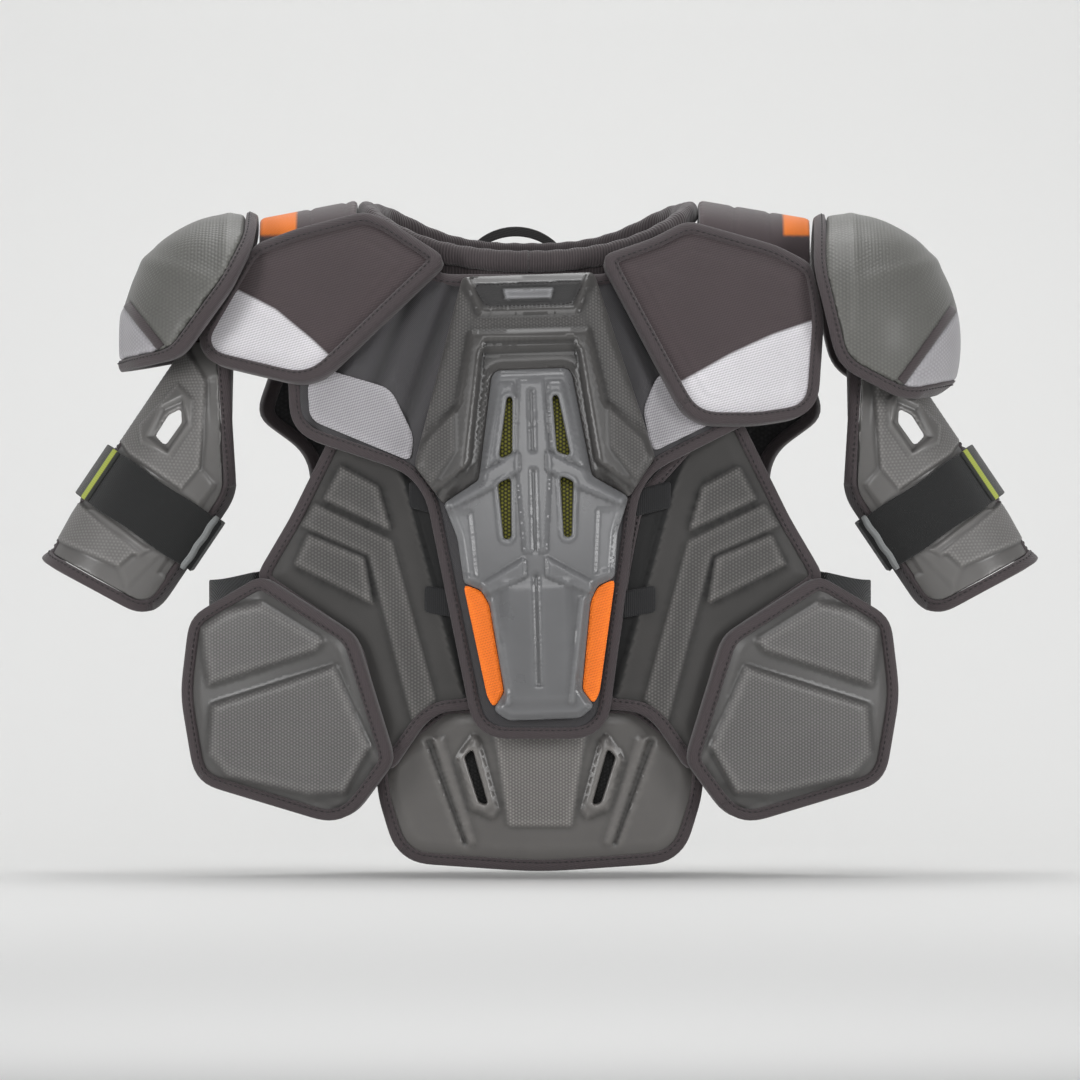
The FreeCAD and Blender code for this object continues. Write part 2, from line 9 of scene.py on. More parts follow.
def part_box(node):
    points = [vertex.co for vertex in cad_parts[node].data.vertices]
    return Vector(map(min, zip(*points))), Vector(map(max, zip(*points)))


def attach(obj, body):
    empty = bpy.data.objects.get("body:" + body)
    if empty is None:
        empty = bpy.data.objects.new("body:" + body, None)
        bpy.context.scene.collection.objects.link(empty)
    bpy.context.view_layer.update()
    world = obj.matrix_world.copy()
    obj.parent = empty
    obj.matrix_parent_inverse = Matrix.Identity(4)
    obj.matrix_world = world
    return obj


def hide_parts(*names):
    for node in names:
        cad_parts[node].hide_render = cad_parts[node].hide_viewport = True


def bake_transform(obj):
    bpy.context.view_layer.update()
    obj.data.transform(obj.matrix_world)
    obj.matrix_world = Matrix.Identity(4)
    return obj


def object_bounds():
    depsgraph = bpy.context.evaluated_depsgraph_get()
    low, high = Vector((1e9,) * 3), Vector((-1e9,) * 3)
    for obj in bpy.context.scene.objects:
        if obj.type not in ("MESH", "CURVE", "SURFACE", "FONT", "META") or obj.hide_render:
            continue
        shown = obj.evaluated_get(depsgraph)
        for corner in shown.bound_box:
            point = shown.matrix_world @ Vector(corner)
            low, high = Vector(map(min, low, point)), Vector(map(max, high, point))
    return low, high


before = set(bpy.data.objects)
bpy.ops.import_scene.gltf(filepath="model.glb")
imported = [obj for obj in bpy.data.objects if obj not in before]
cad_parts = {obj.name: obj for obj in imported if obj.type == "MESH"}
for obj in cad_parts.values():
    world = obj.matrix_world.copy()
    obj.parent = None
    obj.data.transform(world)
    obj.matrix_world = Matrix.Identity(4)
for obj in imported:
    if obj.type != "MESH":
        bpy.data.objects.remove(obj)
cad_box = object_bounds()
mm = 0.001

# ---- Studio ---------------------------------------------------------------------------------------------
# A pale paper sweep that runs from the floor up behind the pads, with large soft lamps, and a long lens
# level with the middle of the chest.
low, high = cad_box
middle_height = low.z + 212 * mm
view_width = 702 * mm
camera_distance = 8.0

sweep = bmesh.new()
profile = [(-10.0, 0.0), (0.7, 0.0)]
profile += [(0.7 + 0.6 * math.sin(a), 0.6 - 0.6 * math.cos(a)) for a in np.linspace(0.1, math.pi / 2, 14)]
profile += [(1.3, 3.0)]
rows = [[sweep.verts.new((x, y, low.z - 6 * mm + up)) for y, up in profile] for x in (-10.0, 10.0)]
for k in range(len(profile) - 1):
    sweep.faces.new((rows[0][k], rows[1][k], rows[1][k + 1], rows[0][k + 1]))
sweep.faces.new([sweep.verts.new((x, y, low.z - 6 * mm)) for x, y in ((-10, 0.7), (10, 0.7), (10, 12), (-10, 12))])
floor_mesh = bpy.data.meshes.new("paper_sweep")
sweep.to_mesh(floor_mesh)
sweep.free()
floor_mesh.polygons.foreach_set("use_smooth", [True] * len(floor_mesh.polygons))
floor = bpy.data.objects.new("paper_sweep", floor_mesh)
bpy.context.scene.collection.objects.link(floor)
paper = bpy.data.materials.new("pale_paper")
paper.use_nodes = True
paper.node_tree.nodes["Principled BSDF"].inputs["Base Color"].default_value = (0.80, 0.80, 0.79, 1)
paper.node_tree.nodes["Principled BSDF"].inputs["Roughness"].default_value = 0.9
# Seen from behind, the paper lets the view through, so the back of the pads can be looked at too.
side_seen = paper.node_tree.nodes.new("ShaderNodeNewGeometry")
see_through = paper.node_tree.nodes.new("ShaderNodeBsdfTransparent")
either = paper.node_tree.nodes.new("ShaderNodeMixShader")
paper.node_tree.links.new(side_seen.outputs["Backfacing"], either.inputs[0])
paper.node_tree.links.new(paper.node_tree.nodes["Principled BSDF"].outputs[0], either.inputs[1])
paper.node_tree.links.new(see_through.outputs[0], either.inputs[2])
paper.node_tree.links.new(either.outputs[0], paper.node_tree.nodes["Material Output"].inputs["Surface"])
floor_mesh.materials.append(paper)

world = bpy.data.worlds.new("studio_air")
world.use_nodes = True
world.node_tree.nodes["Background"].inputs["Color"].default_value = (0.93, 0.95, 1.0, 1)
world.node_tree.nodes["Background"].inputs["Strength"].default_value = 0.14
bpy.context.scene.world = world
bpy.context.scene.view_settings.view_transform = "Standard"

for name, place, size, power in (
        ("top_softbox", (0.0, -0.35, 1.9), 1.0, 13),
        ("left_softbox", (-1.7, -1.2, 0.1), 0.7, 13),
        ("right_softbox", (1.7, -1.2, 0.1), 0.7, 13),
        ("low_softbox", (0.0, -3.0, 0.9), 1.4, 22),
        ("rim_softbox", (0.0, 0.6, 1.5), 1.0, 14)):
    lamp = bpy.data.lights.new(name, "AREA")
    lamp.size = size
    lamp.energy = power
    holder = bpy.data.objects.new(name, lamp)
    holder.location = place
    holder.rotation_euler = (Vector((0, 0, middle_height)) - Vector(place)).to_track_quat("-Z", "Y").to_euler()
    bpy.context.scene.collection.objects.link(holder)

lens = bpy.data.cameras.new("long_lens")
lens.sensor_width = 36
lens.lens = 36 * camera_distance / view_width
lens.clip_end = 60
camera = bpy.data.objects.new("long_lens", lens)
camera.location = (0, -camera_distance, middle_height)
camera.rotation_euler = (math.pi / 2, 0, 0)
bpy.context.scene.collection.objects.link(camera)
bpy.context.scene.camera = camera


# ---- Chest yoke -----------------------------------------------------------------------------------------
# The T-shaped foam that carries the front: soft foam in black stretch fabric, cut flat and bent round the
# chest. Its edge is folded into woven tape and stitched. The front pads are all sewn or riveted to it.
yoke_mesh_pitch = 3.4 * mm
tape_proud = 1.1 * mm
stitch_step = 3.8 * mm
stitch_long = 2.5 * mm
binding_colour = (0.060, 0.047, 0.050)
thread_colour = (0.020, 0.017, 0.018)
stretch_colour = (0.030, 0.028, 0.031)


def mesh_arrays(node):
    """Vertices and triangles of a plain solid, with the vertices that share a place joined."""
    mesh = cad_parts[node].data
    mesh.calc_loop_triangles()
    places = np.array([v.co for v in mesh.vertices], float)
    _, first, back = np.unique(np.round(places, 6), axis=0, return_index=True, return_inverse=True)
    triangles = np.array([t.vertices for t in mesh.loop_triangles])
    triangles = back.reshape(-1)[triangles]
    keep = (triangles[:, 0] != triangles[:, 1]) & (triangles[:, 1] != triangles[:, 2]) & (
        triangles[:, 2] != triangles[:, 0])
    return places[first], triangles[keep]


def facing(node, towards):
    """The triangles of a node whose outward normals point along towards, a function of their middles."""
    places, triangles = mesh_arrays(node)
    a, b, c = (places[triangles[:, k]] for k in range(3))
    normals = np.cross(b - a, c - a)
    normals /= np.linalg.norm(normals, axis=1)[:, None] + 1e-20
    way = towards((a + b + c) / 3)
    return places, triangles[(normals * way).sum(1) > 0.55]


def open_edges(triangles):
    """The edges that only one of the triangles has, in that triangle's direction."""
    edges = {}
    for t in triangles:
        for a, b in ((t[0], t[1]), (t[1], t[2]), (t[2], t[0])):
            if (b, a) in edges:
                del edges[(b, a)]
            else:
                edges[(a, b)] = True
    return edges


def loops_of(places, triangles):
    """The closed edges round a patch of triangles, longest first, as arrays of points."""
    after = {}
    for a, b in open_edges(triangles):
        after.setdefault(a, []).append(b)
    found = []
    while after:
        start = next(iter(after))
        loop, here = [start], after[start].pop()
        if not after[start]:
            del after[start]
        while here != start and here in after:
            loop.append(here)
            following = after[here].pop()
            if not after[here]:
                del after[here]
            here = following
        found.append(places[loop])
    length = [np.linalg.norm(np.roll(l, -1, 0) - l, axis=1).sum() for l in found]
    return [found[i] for i in np.argsort(length)[::-1]]


def resampled(loop, step):
    """A closed loop with evenly spaced points."""
    closed = np.vstack([loop, loop[:1]])
    along = np.concatenate([[0], np.cumsum(np.linalg.norm(np.diff(closed, axis=0), axis=1))])
    count = max(12, int(along[-1] / step))
    places = np.arange(count) * along[-1] / count
    return np.stack([np.interp(places, along, closed[:, k]) for k in range(3)], axis=1)


def eased(loop, rounds):
    """A closed loop with its corners rounded off."""
    for _ in range(rounds):
        loop = 0.5 * loop + 0.25 * (np.roll(loop, 1, 0) + np.roll(loop, -1, 0))
    return loop


def nearest_on(loop, points):
    """For each point, the nearest place on a closed loop."""
    a, b = loop, np.roll(loop, -1, 0)
    d = b - a
    size = (d * d).sum(1) + 1e-18
    out = np.empty_like(points)
    for i, p in enumerate(points):
        t = np.clip(((p - a) * d).sum(1) / size, 0, 1)
        q = a + d * t[:, None]
        out[i] = q[np.argmin(((q - p) ** 2).sum(1))]
    return out


def edge_band(node, towards, step=4 * mm, ease=2):
    """The outer rim of a bound edge, and the inner side of its tape, point by point."""
    loops = loops_of(*facing(node, towards))
    rim = eased(resampled(loops[0], step), ease)
    inner = eased(resampled(loops[1], step / 2), ease)
    inside = eased(nearest_on(inner, rim), 2)
    return rim, inside


def object_from(name, places, faces, smooth=True):
    mesh = bpy.data.meshes.new(name)
    mesh.from_pydata([tuple(p) for p in places], [], [tuple(int(i) for i in f) for f in faces])
    mesh.validate()
    tidy = bmesh.new()
    tidy.from_mesh(mesh)
    bmesh.ops.recalc_face_normals(tidy, faces=tidy.faces)
    tidy.to_mesh(mesh)
    tidy.free()
    mesh.polygons.foreach_set("use_smooth", [smooth] * len(mesh.polygons))
    piece = bpy.data.objects.new(name, mesh)
    bpy.context.scene.collection.objects.link(piece)
    return piece


def mark(piece, name, values):
    """Stores one number or one vector for every vertex, for the materials to read."""
    values = np.asarray(values, np.float32)
    kind = "FLOAT_VECTOR" if values.ndim == 2 else "FLOAT"
    attribute = piece.data.attributes.get(name) or piece.data.attributes.new(name, kind, "POINT")
    attribute.data.foreach_set("vector" if values.ndim == 2 else "value", values.ravel())


def places_of(piece):
    out = np.empty(len(piece.data.vertices) * 3)
    piece.data.vertices.foreach_get("co", out)
    return out.reshape(-1, 3)


def put(piece, places):
    piece.data.vertices.foreach_set("co", np.asarray(places, np.float64).ravel())
    piece.data.update()


def finished(piece, stuff, body=None):
    """Gives a piece its material and, where one is given, the body it rides on."""
    piece.data.materials.append(stuff)
    if body:
        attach(piece, body)
    return piece


def tape(name, rim, inside, normals, thick, body, replaced, ripple=0.25 * mm):
    """Woven tape folded over an edge: a rounded section swept round the rim, and its row of stitches."""
    count = len(rim)
    across = inside - rim
    width = np.linalg.norm(across, axis=1)[:, None]
    across = across / width
    along = np.roll(rim, -1, 0) - np.roll(rim, 1, 0)
    along /= np.linalg.norm(along, axis=1)[:, None]
    pull = 1 + 0.5 * np.cos(2 * math.pi * np.arange(count) / max(1, round(count / 3)))[:, None]
    shape = [(1.0, 0.35), (0.86, 0.9), (0.55, 1.25), (0.2, 1.1), (-0.04, 0.45), (-0.12, -0.2)]
    rings = []
    for a, up in shape:
        rings.append(rim + across * width * a + normals * (tape_proud * up + ripple * pull * (a > 0.5)))
    under = [(-0.12, 0.2), (-0.04, -0.45), (0.2, -1.1), (0.6, -1.1), (1.0, -0.4)]
    for a, up in under:
        rings.append(rim + across * width * a - normals * (thick - tape_proud * up))
    sections = len(rings)
    places = np.stack(rings, axis=1).reshape(-1, 3)
    faces = []
    for i in range(count):
        j = (i + 1) % count
        for k in range(sections):
            m = (k + 1) % sections
            faces.append((i * sections + k, i * sections + m, j * sections + m, j * sections + k))
    piece = object_from(name, places, faces)
    length = np.concatenate([[0], np.cumsum(np.linalg.norm(np.roll(rim, -1, 0) - rim, axis=1))])[:count]
    girth = np.array([0, 1.5, 4, 6.5, 8.5, 10, 14, 16, 18, 21, 24]) * mm
    cut = np.zeros((count, sections, 3))
    cut[:, :, 0] = length[:, None]
    cut[:, :, 1] = girth[None, :]
    mark(piece, "cut", cut.reshape(-1, 3))
    row = rim + across * width * 0.74 + normals * (tape_proud * 1.15 + ripple)
    thread = stitches(name + "_stitches", row, normals)
    finished(piece, binding_tape, body)
    finished(thread, thread_dark, body)
    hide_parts(replaced)
    return piece


def stitches(name, row, normals, step=stitch_step, long=stitch_long, thick=0.42 * mm):
    """Short stitches along a closed row, each a little six-sided bar that dips at both ends."""
    closed = np.vstack([row, row[:1]])
    closed_normals = np.vstack([normals, normals[:1]])
    along = np.concatenate([[0], np.cumsum(np.linalg.norm(np.diff(closed, axis=0), axis=1))])
    count = int(along[-1] / step)
    bar_shape = ((-0.5, -0.6, 0.5), (-0.25, 0.35, 1), (0.25, 0.35, 1), (0.5, -0.6, 0.5))

    def at(s, source):
        return np.array([np.interp(s % along[-1], along, source[:, k]) for k in range(3)])

    places, faces = [], []
    for i in range(count):
        s = i * along[-1] / count
        for part, (offset, lift, girth) in enumerate(bar_shape):
            here = at(s + offset * long, closed)
            up = at(s, closed_normals)
            ahead = at(s + 0.4 * long, closed) - at(s - 0.4 * long, closed)
            ahead /= np.linalg.norm(ahead) + 1e-12
            sideways = np.cross(up, ahead)
            start = len(places)
            for corner in range(6):
                turn = corner * math.pi / 3
                places.append(here + up * (lift * thick) + (
                    sideways * math.cos(turn) + up * math.sin(turn)) * thick * girth)
            if part:
                for corner in range(6):
                    faces.append((start - 6 + corner, start - 6 + (corner + 1) % 6,
                                  start + (corner + 1) % 6, start + corner))
        first = len(places) - 24
        faces.append(tuple(range(first, first + 6)))
        faces.append(tuple(range(len(places) - 6, len(places)))[::-1])
    return object_from(name, places, faces)


def curve_through(node, way):
    """The smooth depth of a pad's face: a function of x and z fitted to that face of its plain solid.
    way is -1 for the side towards the front and +1 for the side towards the back."""
    places, triangles = facing(node, lambda middles: np.array([0.0, way, 0.0]))
    spots = places[np.unique(triangles)]
    centre, reach = spots.mean(0), np.ptp(spots, axis=0).max() / 2

    def terms(x, z):
        u, v = (x - centre[0]) / reach, (z - centre[2]) / reach
        return np.stack([u ** i * v ** k for i in range(5) for k in range(5 - i)], axis=-1)

    wanted = terms(spots[:, 0], spots[:, 2])
    factors = np.linalg.solve(wanted.T @ wanted + 1e-5 * np.eye(wanted.shape[1]), wanted.T @ spots[:, 1])
    return lambda x, z: terms(np.asarray(x), np.asarray(z)) @ factors


def outline_distance(points, polygon):
    """How far each (x, z) point lies inside a closed outline; negative outside."""
    points, polygon = np.asarray(points, float), np.asarray(polygon, float)
    nearest = np.full(len(points), 1e9)
    inside = np.zeros(len(points), bool)
    for a, b in zip(polygon, np.roll(polygon, -1, 0)):
        d = b - a
        t = np.clip(((points - a) @ d) / (d @ d + 1e-18), 0, 1)
        nearest = np.minimum(nearest, np.linalg.norm(points - (a + t[:, None] * d), axis=1))
        crosses = (a[1] > points[:, 1]) != (b[1] > points[:, 1])
        with np.errstate(divide="ignore", invalid="ignore"):
            edge_x = a[0] + (points[:, 1] - a[1]) / (b[1] - a[1]) * (b[0] - a[0])
        inside ^= crosses & (points[:, 0] < edge_x)
    return np.where(inside, nearest, -nearest)


def ramp(values, start, end):
    """0 before start, 1 after end, smooth in between."""
    t = np.clip((values - start) / (end - start), 0, 1)
    return t * t * (3 - 2 * t)


def creased(patches, side, pitch):
    """Points laid in rows on both sides of each moulded line, so that the mesh follows its bevel."""
    out = []
    for corners, up, bevel in patches:
        polygon = np.array([(x * side, z) for x, z in corners]) * mm
        for a, b in zip(polygon, np.roll(polygon, -1, 0)):
            d = b - a
            length = np.linalg.norm(d)
            if length < 1e-6:
                continue
            n = np.array([d[1], -d[0]]) / length
            for t in np.arange(0.5, max(1, round(length / pitch))) / max(1, round(length / pitch)):
                for way in (-0.52, 0.52) if bevel > 1.3 else (0.0,):
                    out.append(a + d * t + n * way * bevel * mm)
    kept, seen = [], {}
    least = 0.42 * pitch
    for p in out:
        cell = (int(p[0] // least), int(p[1] // least))
        close = [q for i in (-1, 0, 1) for k in (-1, 0, 1) for q in seen.get((cell[0] + i, cell[1] + k), ())]
        if all(abs(q[0] - p[0]) + abs(q[1] - p[1]) > least for q in close):
            kept.append(p)
            seen.setdefault(cell, []).append(p)
    return np.array(kept).reshape(-1, 2)


def filled(outline, pitch, holes=(), extra=None):
    """Evenly spaced points and triangles inside an outline, with holes left out and extra points kept."""
    outline = np.asarray(outline, float)
    lines = [outline] + [np.asarray(h, float) for h in holes]
    points, edges = [], []
    for line in lines:
        start = len(points)
        points.extend(line)
        edges.extend((start + i, start + (i + 1) % len(line)) for i in range(len(line)))
    low_corner, high_corner = outline.min(0), outline.max(0)
    xs = np.arange(low_corner[0], high_corner[0] + pitch, pitch)
    zs = np.arange(low_corner[1], high_corner[1] + pitch, pitch * 0.866)
    grid = np.array([(x + (0.5 * pitch if k % 2 else 0), z) for k, z in enumerate(zs) for x in xs])
    clear = outline_distance(grid, outline) > 0.45 * pitch
    for hole in lines[1:]:
        clear &= outline_distance(grid, hole) < -0.45 * pitch
    grid = grid[clear]
    if extra is not None and len(extra):
        fits = outline_distance(extra, outline) > 0.4 * pitch
        for hole in lines[1:]:
            fits &= outline_distance(extra, hole) < -0.4 * pitch
        extra = extra[fits]
        apart = np.array([((extra - p) ** 2).sum(1).min() for p in grid]) > (0.55 * pitch) ** 2
        points.extend(extra)
        grid = grid[apart]
    points.extend(grid)
    # The triangles come out with the outline's own direction, holes included, and the holes are dropped.
    flat, _, triangles, *_ = geometry.delaunay_2d_cdt([Vector(p) for p in points], edges, [], 0, 1e-7)
    flat = np.array([tuple(p) for p in flat])
    triangles = np.array([tuple(t) for t in triangles])
    middles = flat[triangles].mean(1)
    inside = outline_distance(middles, outline) > 0
    for hole in lines[1:]:
        inside &= outline_distance(middles, hole) < 0
    return flat, triangles[inside]


def closed_pad(name, flat, triangles, front, back, bulge=1.0 * mm):
    """A closed pad from a flat cut: a front and a back surface given as depths, and rounded sides."""
    count = len(flat)
    front_places = np.column_stack([flat[:, 0], front, flat[:, 1]])
    back_places = np.column_stack([flat[:, 0], back, flat[:, 1]])
    edges = open_edges(triangles)
    faces = [tuple(t) for t in triangles] + [tuple(t[::-1] + count) for t in triangles]
    places = [front_places, back_places]
    rim = sorted({i for edge in edges for i in edge})
    order = {v: i for i, v in enumerate(rim)}
    middles = front_places[rim] * 0.5 + back_places[rim] * 0.5
    out = np.zeros_like(middles)
    for a, b in edges:
        d = flat[b] - flat[a]
        side = np.array([d[1], 0, -d[0]]) / (np.linalg.norm(d) + 1e-12)
        out[order[a]] += side
        out[order[b]] += side
    out /= np.linalg.norm(out, axis=1)[:, None] + 1e-12
    places.append(middles + out * bulge)
    for a, b in edges:
        ma, mb = 2 * count + order[a], 2 * count + order[b]
        faces.append((b, a, ma, mb))
        faces.append((mb, ma, a + count, b + count))
    piece = object_from(name, np.vstack(places), faces)
    everywhere = places_of(piece)
    mark(piece, "cut", np.column_stack([everywhere[:, 0], everywhere[:, 2], np.zeros(len(everywhere))]))
    mark_relief_shading(piece)
    return piece, rim


def mark_relief_shading(piece, reach=1.3 * mm, rounds=2):
    """Marks how sharply each place stands out, for painted light: +1 on a crest, which the materials lighten as a
    painted highlight, -1 in a ditch, which they darken as painted shade.
    """
    mesh = piece.data
    ends = np.empty(len(mesh.edges) * 2, np.int64)
    mesh.edges.foreach_get("vertices", ends)
    a, b = ends.reshape(-1, 2).T
    places = places_of(piece)
    ways = np.empty(len(places) * 3)
    mesh.vertices.foreach_get("normal", ways)
    ways = ways.reshape(-1, 3)
    count = np.bincount(a, minlength=len(places)) + np.bincount(b, minlength=len(places))
    middle = np.zeros_like(places)
    span = np.zeros(len(places))
    np.add.at(middle, a, places[b])
    np.add.at(middle, b, places[a])
    length = np.linalg.norm(places[a] - places[b], axis=1)
    np.add.at(span, a, length)
    np.add.at(span, b, length)
    span /= np.maximum(count, 1)
    middle /= np.maximum(count, 1)[:, None]
    bend = ((places - middle) * ways).sum(1) / np.maximum(span, reach)
    for _ in range(rounds):
        soft = np.zeros(len(bend))
        np.add.at(soft, a, bend[b])
        np.add.at(soft, b, bend[a])
        bend = 0.5 * bend + 0.5 * soft / np.maximum(count, 1)
    mark(piece, "painted_relief_light", np.clip(bend * 4.0, -1, 1))


def raised(points, patches, side=1):
    """Height added by moulded patches. Each is (corners in mm, height in mm, bevel in mm)."""
    height = np.zeros(len(points))
    for corners, up, bevel in patches:
        polygon = np.array([(x * side, z) for x, z in corners]) * mm
        height += up * mm * ramp(outline_distance(points, polygon), -0.5 * bevel * mm, 0.5 * bevel * mm)
    return height


def within(points, corner_lists, side=1, soft=1.2):
    """1 inside any of the outlines, 0 outside, for the part of a face that carries the moulded grain."""
    amount = np.zeros(len(points))
    for corners in corner_lists:
        polygon = np.array([(x * side, z) for x, z in corners]) * mm
        amount = np.maximum(amount, ramp(outline_distance(points, polygon), -soft * mm, soft * mm))
    return amount


def nodes_of(name, base, rough, sheen=0.0, coat=0.0):
    """A new material with its shader, and short ways to add nodes to it."""
    stuff = bpy.data.materials.new(name)
    stuff.use_nodes = True
    tree = stuff.node_tree
    shader = tree.nodes["Principled BSDF"]
    shader.inputs["Base Color"].default_value = (*base, 1)
    shader.inputs["Roughness"].default_value = rough
    shader.inputs["Sheen Weight"].default_value = sheen
    shader.inputs["Sheen Roughness"].default_value = 0.5
    shader.inputs["Coat Weight"].default_value = coat
    shader.inputs["Coat Roughness"].default_value = 0.25

    def add(kind, **inputs):
        node = tree.nodes.new(kind)
        for key, value in inputs.items():
            if key in ("operation", "data_type", "blend_type", "attribute_name", "noise_dimensions"):
                setattr(node, key, value)
        return node

    def sums(operation, a, b=0.0, c=0.0):
        node = add("ShaderNodeMath", operation=operation)
        for socket, value in zip(node.inputs, (a, b, c)):
            if isinstance(value, (int, float)):
                socket.default_value = value
            else:
                tree.links.new(value, socket)
        return node.outputs[0]

    return stuff, tree, shader, add, sums


def weave_of(tree, add, sums, kind, pitch, source="cut"):
    """The height of a weave or moulded grain, from 0 to 1, over the flat cut of the cloth."""
    cut = add("ShaderNodeAttribute", attribute_name="cut").outputs["Vector"]
    if source == "object":
        cut = add("ShaderNodeTexCoord").outputs["Object"]
    parts = add("ShaderNodeSeparateXYZ")
    tree.links.new(cut, parts.inputs[0])
    if source == "box":
        # A moulded skin has no flat cut, so its grain is laid on from the side that each face looks to.
        sides = add("ShaderNodeSeparateXYZ")
        tree.links.new(add("ShaderNodeAttribute", attribute_name="sides").outputs["Vector"], sides.inputs[0])
        total = None
        for weight, (a, b) in enumerate(((1, 2), (0, 2), (0, 1))):
            here = weave_on(tree, add, sums, kind, pitch, parts.outputs[a], parts.outputs[b])
            here = sums("MULTIPLY", here, sides.outputs[weight])
            total = here if total is None else sums("ADD", total, here)
        return total
    return weave_on(tree, add, sums, kind, pitch, parts.outputs[0], parts.outputs[1 if source == "cut" else 2])


def weave_on(tree, add, sums, kind, pitch, u, v):
    """The same height over two directions of the cloth."""
    k = 2 * math.pi / pitch

    def wave(a, b):
        return sums("COSINE", sums("ADD", sums("MULTIPLY", u, a * k), sums("MULTIPLY", v, b * k)))

    if kind == "dots":
        total = sums("ADD", sums("ADD", wave(1, 0), wave(-0.5, 0.866)), wave(-0.5, -0.866))
        return sums("MULTIPLY_ADD", total, 1 / 4.5, 1 / 3)
    if kind == "ribs":
        return sums("MULTIPLY_ADD", wave(1, 0), 0.5, 0.5)
    if kind == "twill":
        return sums("MULTIPLY_ADD", sums("MULTIPLY", wave(0.7, 0.7), wave(1, -0.35)), 0.5, 0.5)
    return sums("MULTIPLY_ADD", sums("MULTIPLY", wave(1, 0), wave(0, 1)), 0.5, 0.5)


def textile(name, colour, kind="weave", pitch=1.2 * mm, depth=0.25 * mm, rough=0.85, sheen=0.15, contrast=0.35,
            blotch=0.12, coat=0.0, grain=None, plain_rough=0.5, second=None, second_mask=None, source="cut",
            painted_light_strength=0.35):
    """A cloth or grained foam. grain names the mark that says where the weave shows; elsewhere the face is plain
    and smoother. second is another colour, shown where second_mask is 1."""
    stuff, tree, shader, add, sums = nodes_of(name, colour, rough, sheen, coat)
    weave = weave_of(tree, add, sums, kind, pitch, source)
    if grain:
        amount = add("ShaderNodeAttribute", attribute_name=grain).outputs["Fac"]
        weave = sums("MULTIPLY", weave, amount)
    cloud = add("ShaderNodeTexNoise")
    cloud.inputs["Scale"].default_value = 26
    cloud.inputs["Detail"].default_value = 4
    spot = add("ShaderNodeTexCoord").outputs["Object"]
    tree.links.new(spot, cloud.inputs["Vector"])
    light = sums("ADD", sums("MULTIPLY", weave, contrast), sums("MULTIPLY", cloud.outputs["Fac"], blotch))
    light = sums("ADD", light, 1 - contrast * 0.5 - blotch * 0.5)
    # Painted light: the colour is lightened on crests as a painted highlight and darkened in ditches as painted shade,
    # as strongly as the strength given for it.
    painted_relief_light = add("ShaderNodeAttribute", attribute_name="painted_relief_light").outputs["Fac"]
    light = sums("MULTIPLY", light, sums("MULTIPLY_ADD", painted_relief_light, painted_light_strength, 1.0))
    tint = add("ShaderNodeVectorMath", operation="SCALE")
    tint.inputs[0].default_value = colour
    tree.links.new(light, tint.inputs["Scale"])
    result = tint.outputs[0]
    if second:
        other = add("ShaderNodeVectorMath", operation="SCALE")
        other.inputs[0].default_value = second
        tree.links.new(light, other.inputs["Scale"])
        mask = add("ShaderNodeAttribute", attribute_name=second_mask).outputs["Fac"]
        blend = add("ShaderNodeMix", data_type="VECTOR")
        tree.links.new(mask, blend.inputs["Factor"])
        tree.links.new(result, blend.inputs[4])
        tree.links.new(other.outputs[0], blend.inputs[5])
        result = blend.outputs[1]
    tree.links.new(result, shader.inputs["Base Color"])
    if grain:
        tree.links.new(sums("MULTIPLY_ADD", amount, rough - plain_rough, plain_rough), shader.inputs["Roughness"])
    fine = add("ShaderNodeTexNoise")
    fine.inputs["Scale"].default_value = 900
    fine.inputs["Detail"].default_value = 2
    tree.links.new(spot, fine.inputs["Vector"])
    height = sums("ADD", weave, sums("MULTIPLY", fine.outputs["Fac"], 0.18))
    bump = add("ShaderNodeBump")
    bump.inputs["Distance"].default_value = depth
    bump.inputs["Strength"].default_value = 0.8
    tree.links.new(height, bump.inputs["Height"])
    tree.links.new(bump.outputs[0], shader.inputs["Normal"])
    return stuff


def towards_front(middles):
    return np.array([0.0, -1.0, 0.0])


def towards_back(middles):
    return np.array([0.0, 1.0, 0.0])


def outer_side(way):
    """The front for pads worn on the front (-1), the back for those on the back (+1)."""
    return towards_front if way < 0 else towards_back


def bound_pad(name, node, pitch, patches=(), grain=(), side=1, crown=2.0, crown_width=12.0, holes=(), way=-1,
              extra=None, lines=()):
    """A pad cut to the middle of its tape, crowned, with moulded patches on its outer face, and its bound edge."""
    rim, inside = edge_band(node + "_binding", outer_side(way))
    middle_line = eased(resampled((rim + inside) / 2, pitch * 1.1), 1)
    outline = middle_line[:, [0, 2]]
    flat, triangles = filled(outline, pitch, holes, creased(list(patches) + list(lines), side, pitch * 0.8))
    outer, inner = curve_through(node, way), curve_through(node, -way)
    deep = outline_distance(flat, outline)
    height = crown * mm * (ramp(deep, 0, crown_width * mm) - 0.5) + raised(flat, patches, side)
    if extra is not None:
        height = height + extra(flat, deep)
    for hole in holes:
        height += 1.2 * mm * ramp(outline_distance(flat, hole), -5 * mm, -1 * mm)
    front = outer(flat[:, 0], flat[:, 1]) + way * height
    back = inner(flat[:, 0], flat[:, 1])
    piece, _ = closed_pad(name, flat, triangles, front, back)
    count = len(flat)
    amount = within(flat, grain, side) if len(grain) else np.ones(count)
    total = len(piece.data.vertices)
    mark(piece, "grain", np.concatenate([amount, np.zeros(total - count)]))
    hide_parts(node)
    slope = [outer(rim[:, 0] + d[0] * mm, rim[:, 2] + d[1] * mm) for d in ((1, 0), (-1, 0), (0, 1), (0, -1))]
    normals = np.column_stack([(slope[0] - slope[1]) / (2 * mm), -np.ones(len(rim)),
                               (slope[2] - slope[3]) / (2 * mm)])
    normals = normals / np.linalg.norm(normals, axis=1)[:, None] * -way
    rim[:, 1], inside[:, 1] = outer(rim[:, 0], rim[:, 2]), outer(inside[:, 0], inside[:, 2])
    thick = float(np.abs(outer(outline[:, 0], outline[:, 1]) - inner(outline[:, 0], outline[:, 1])).mean())
    return piece, (rim, inside, normals, thick)


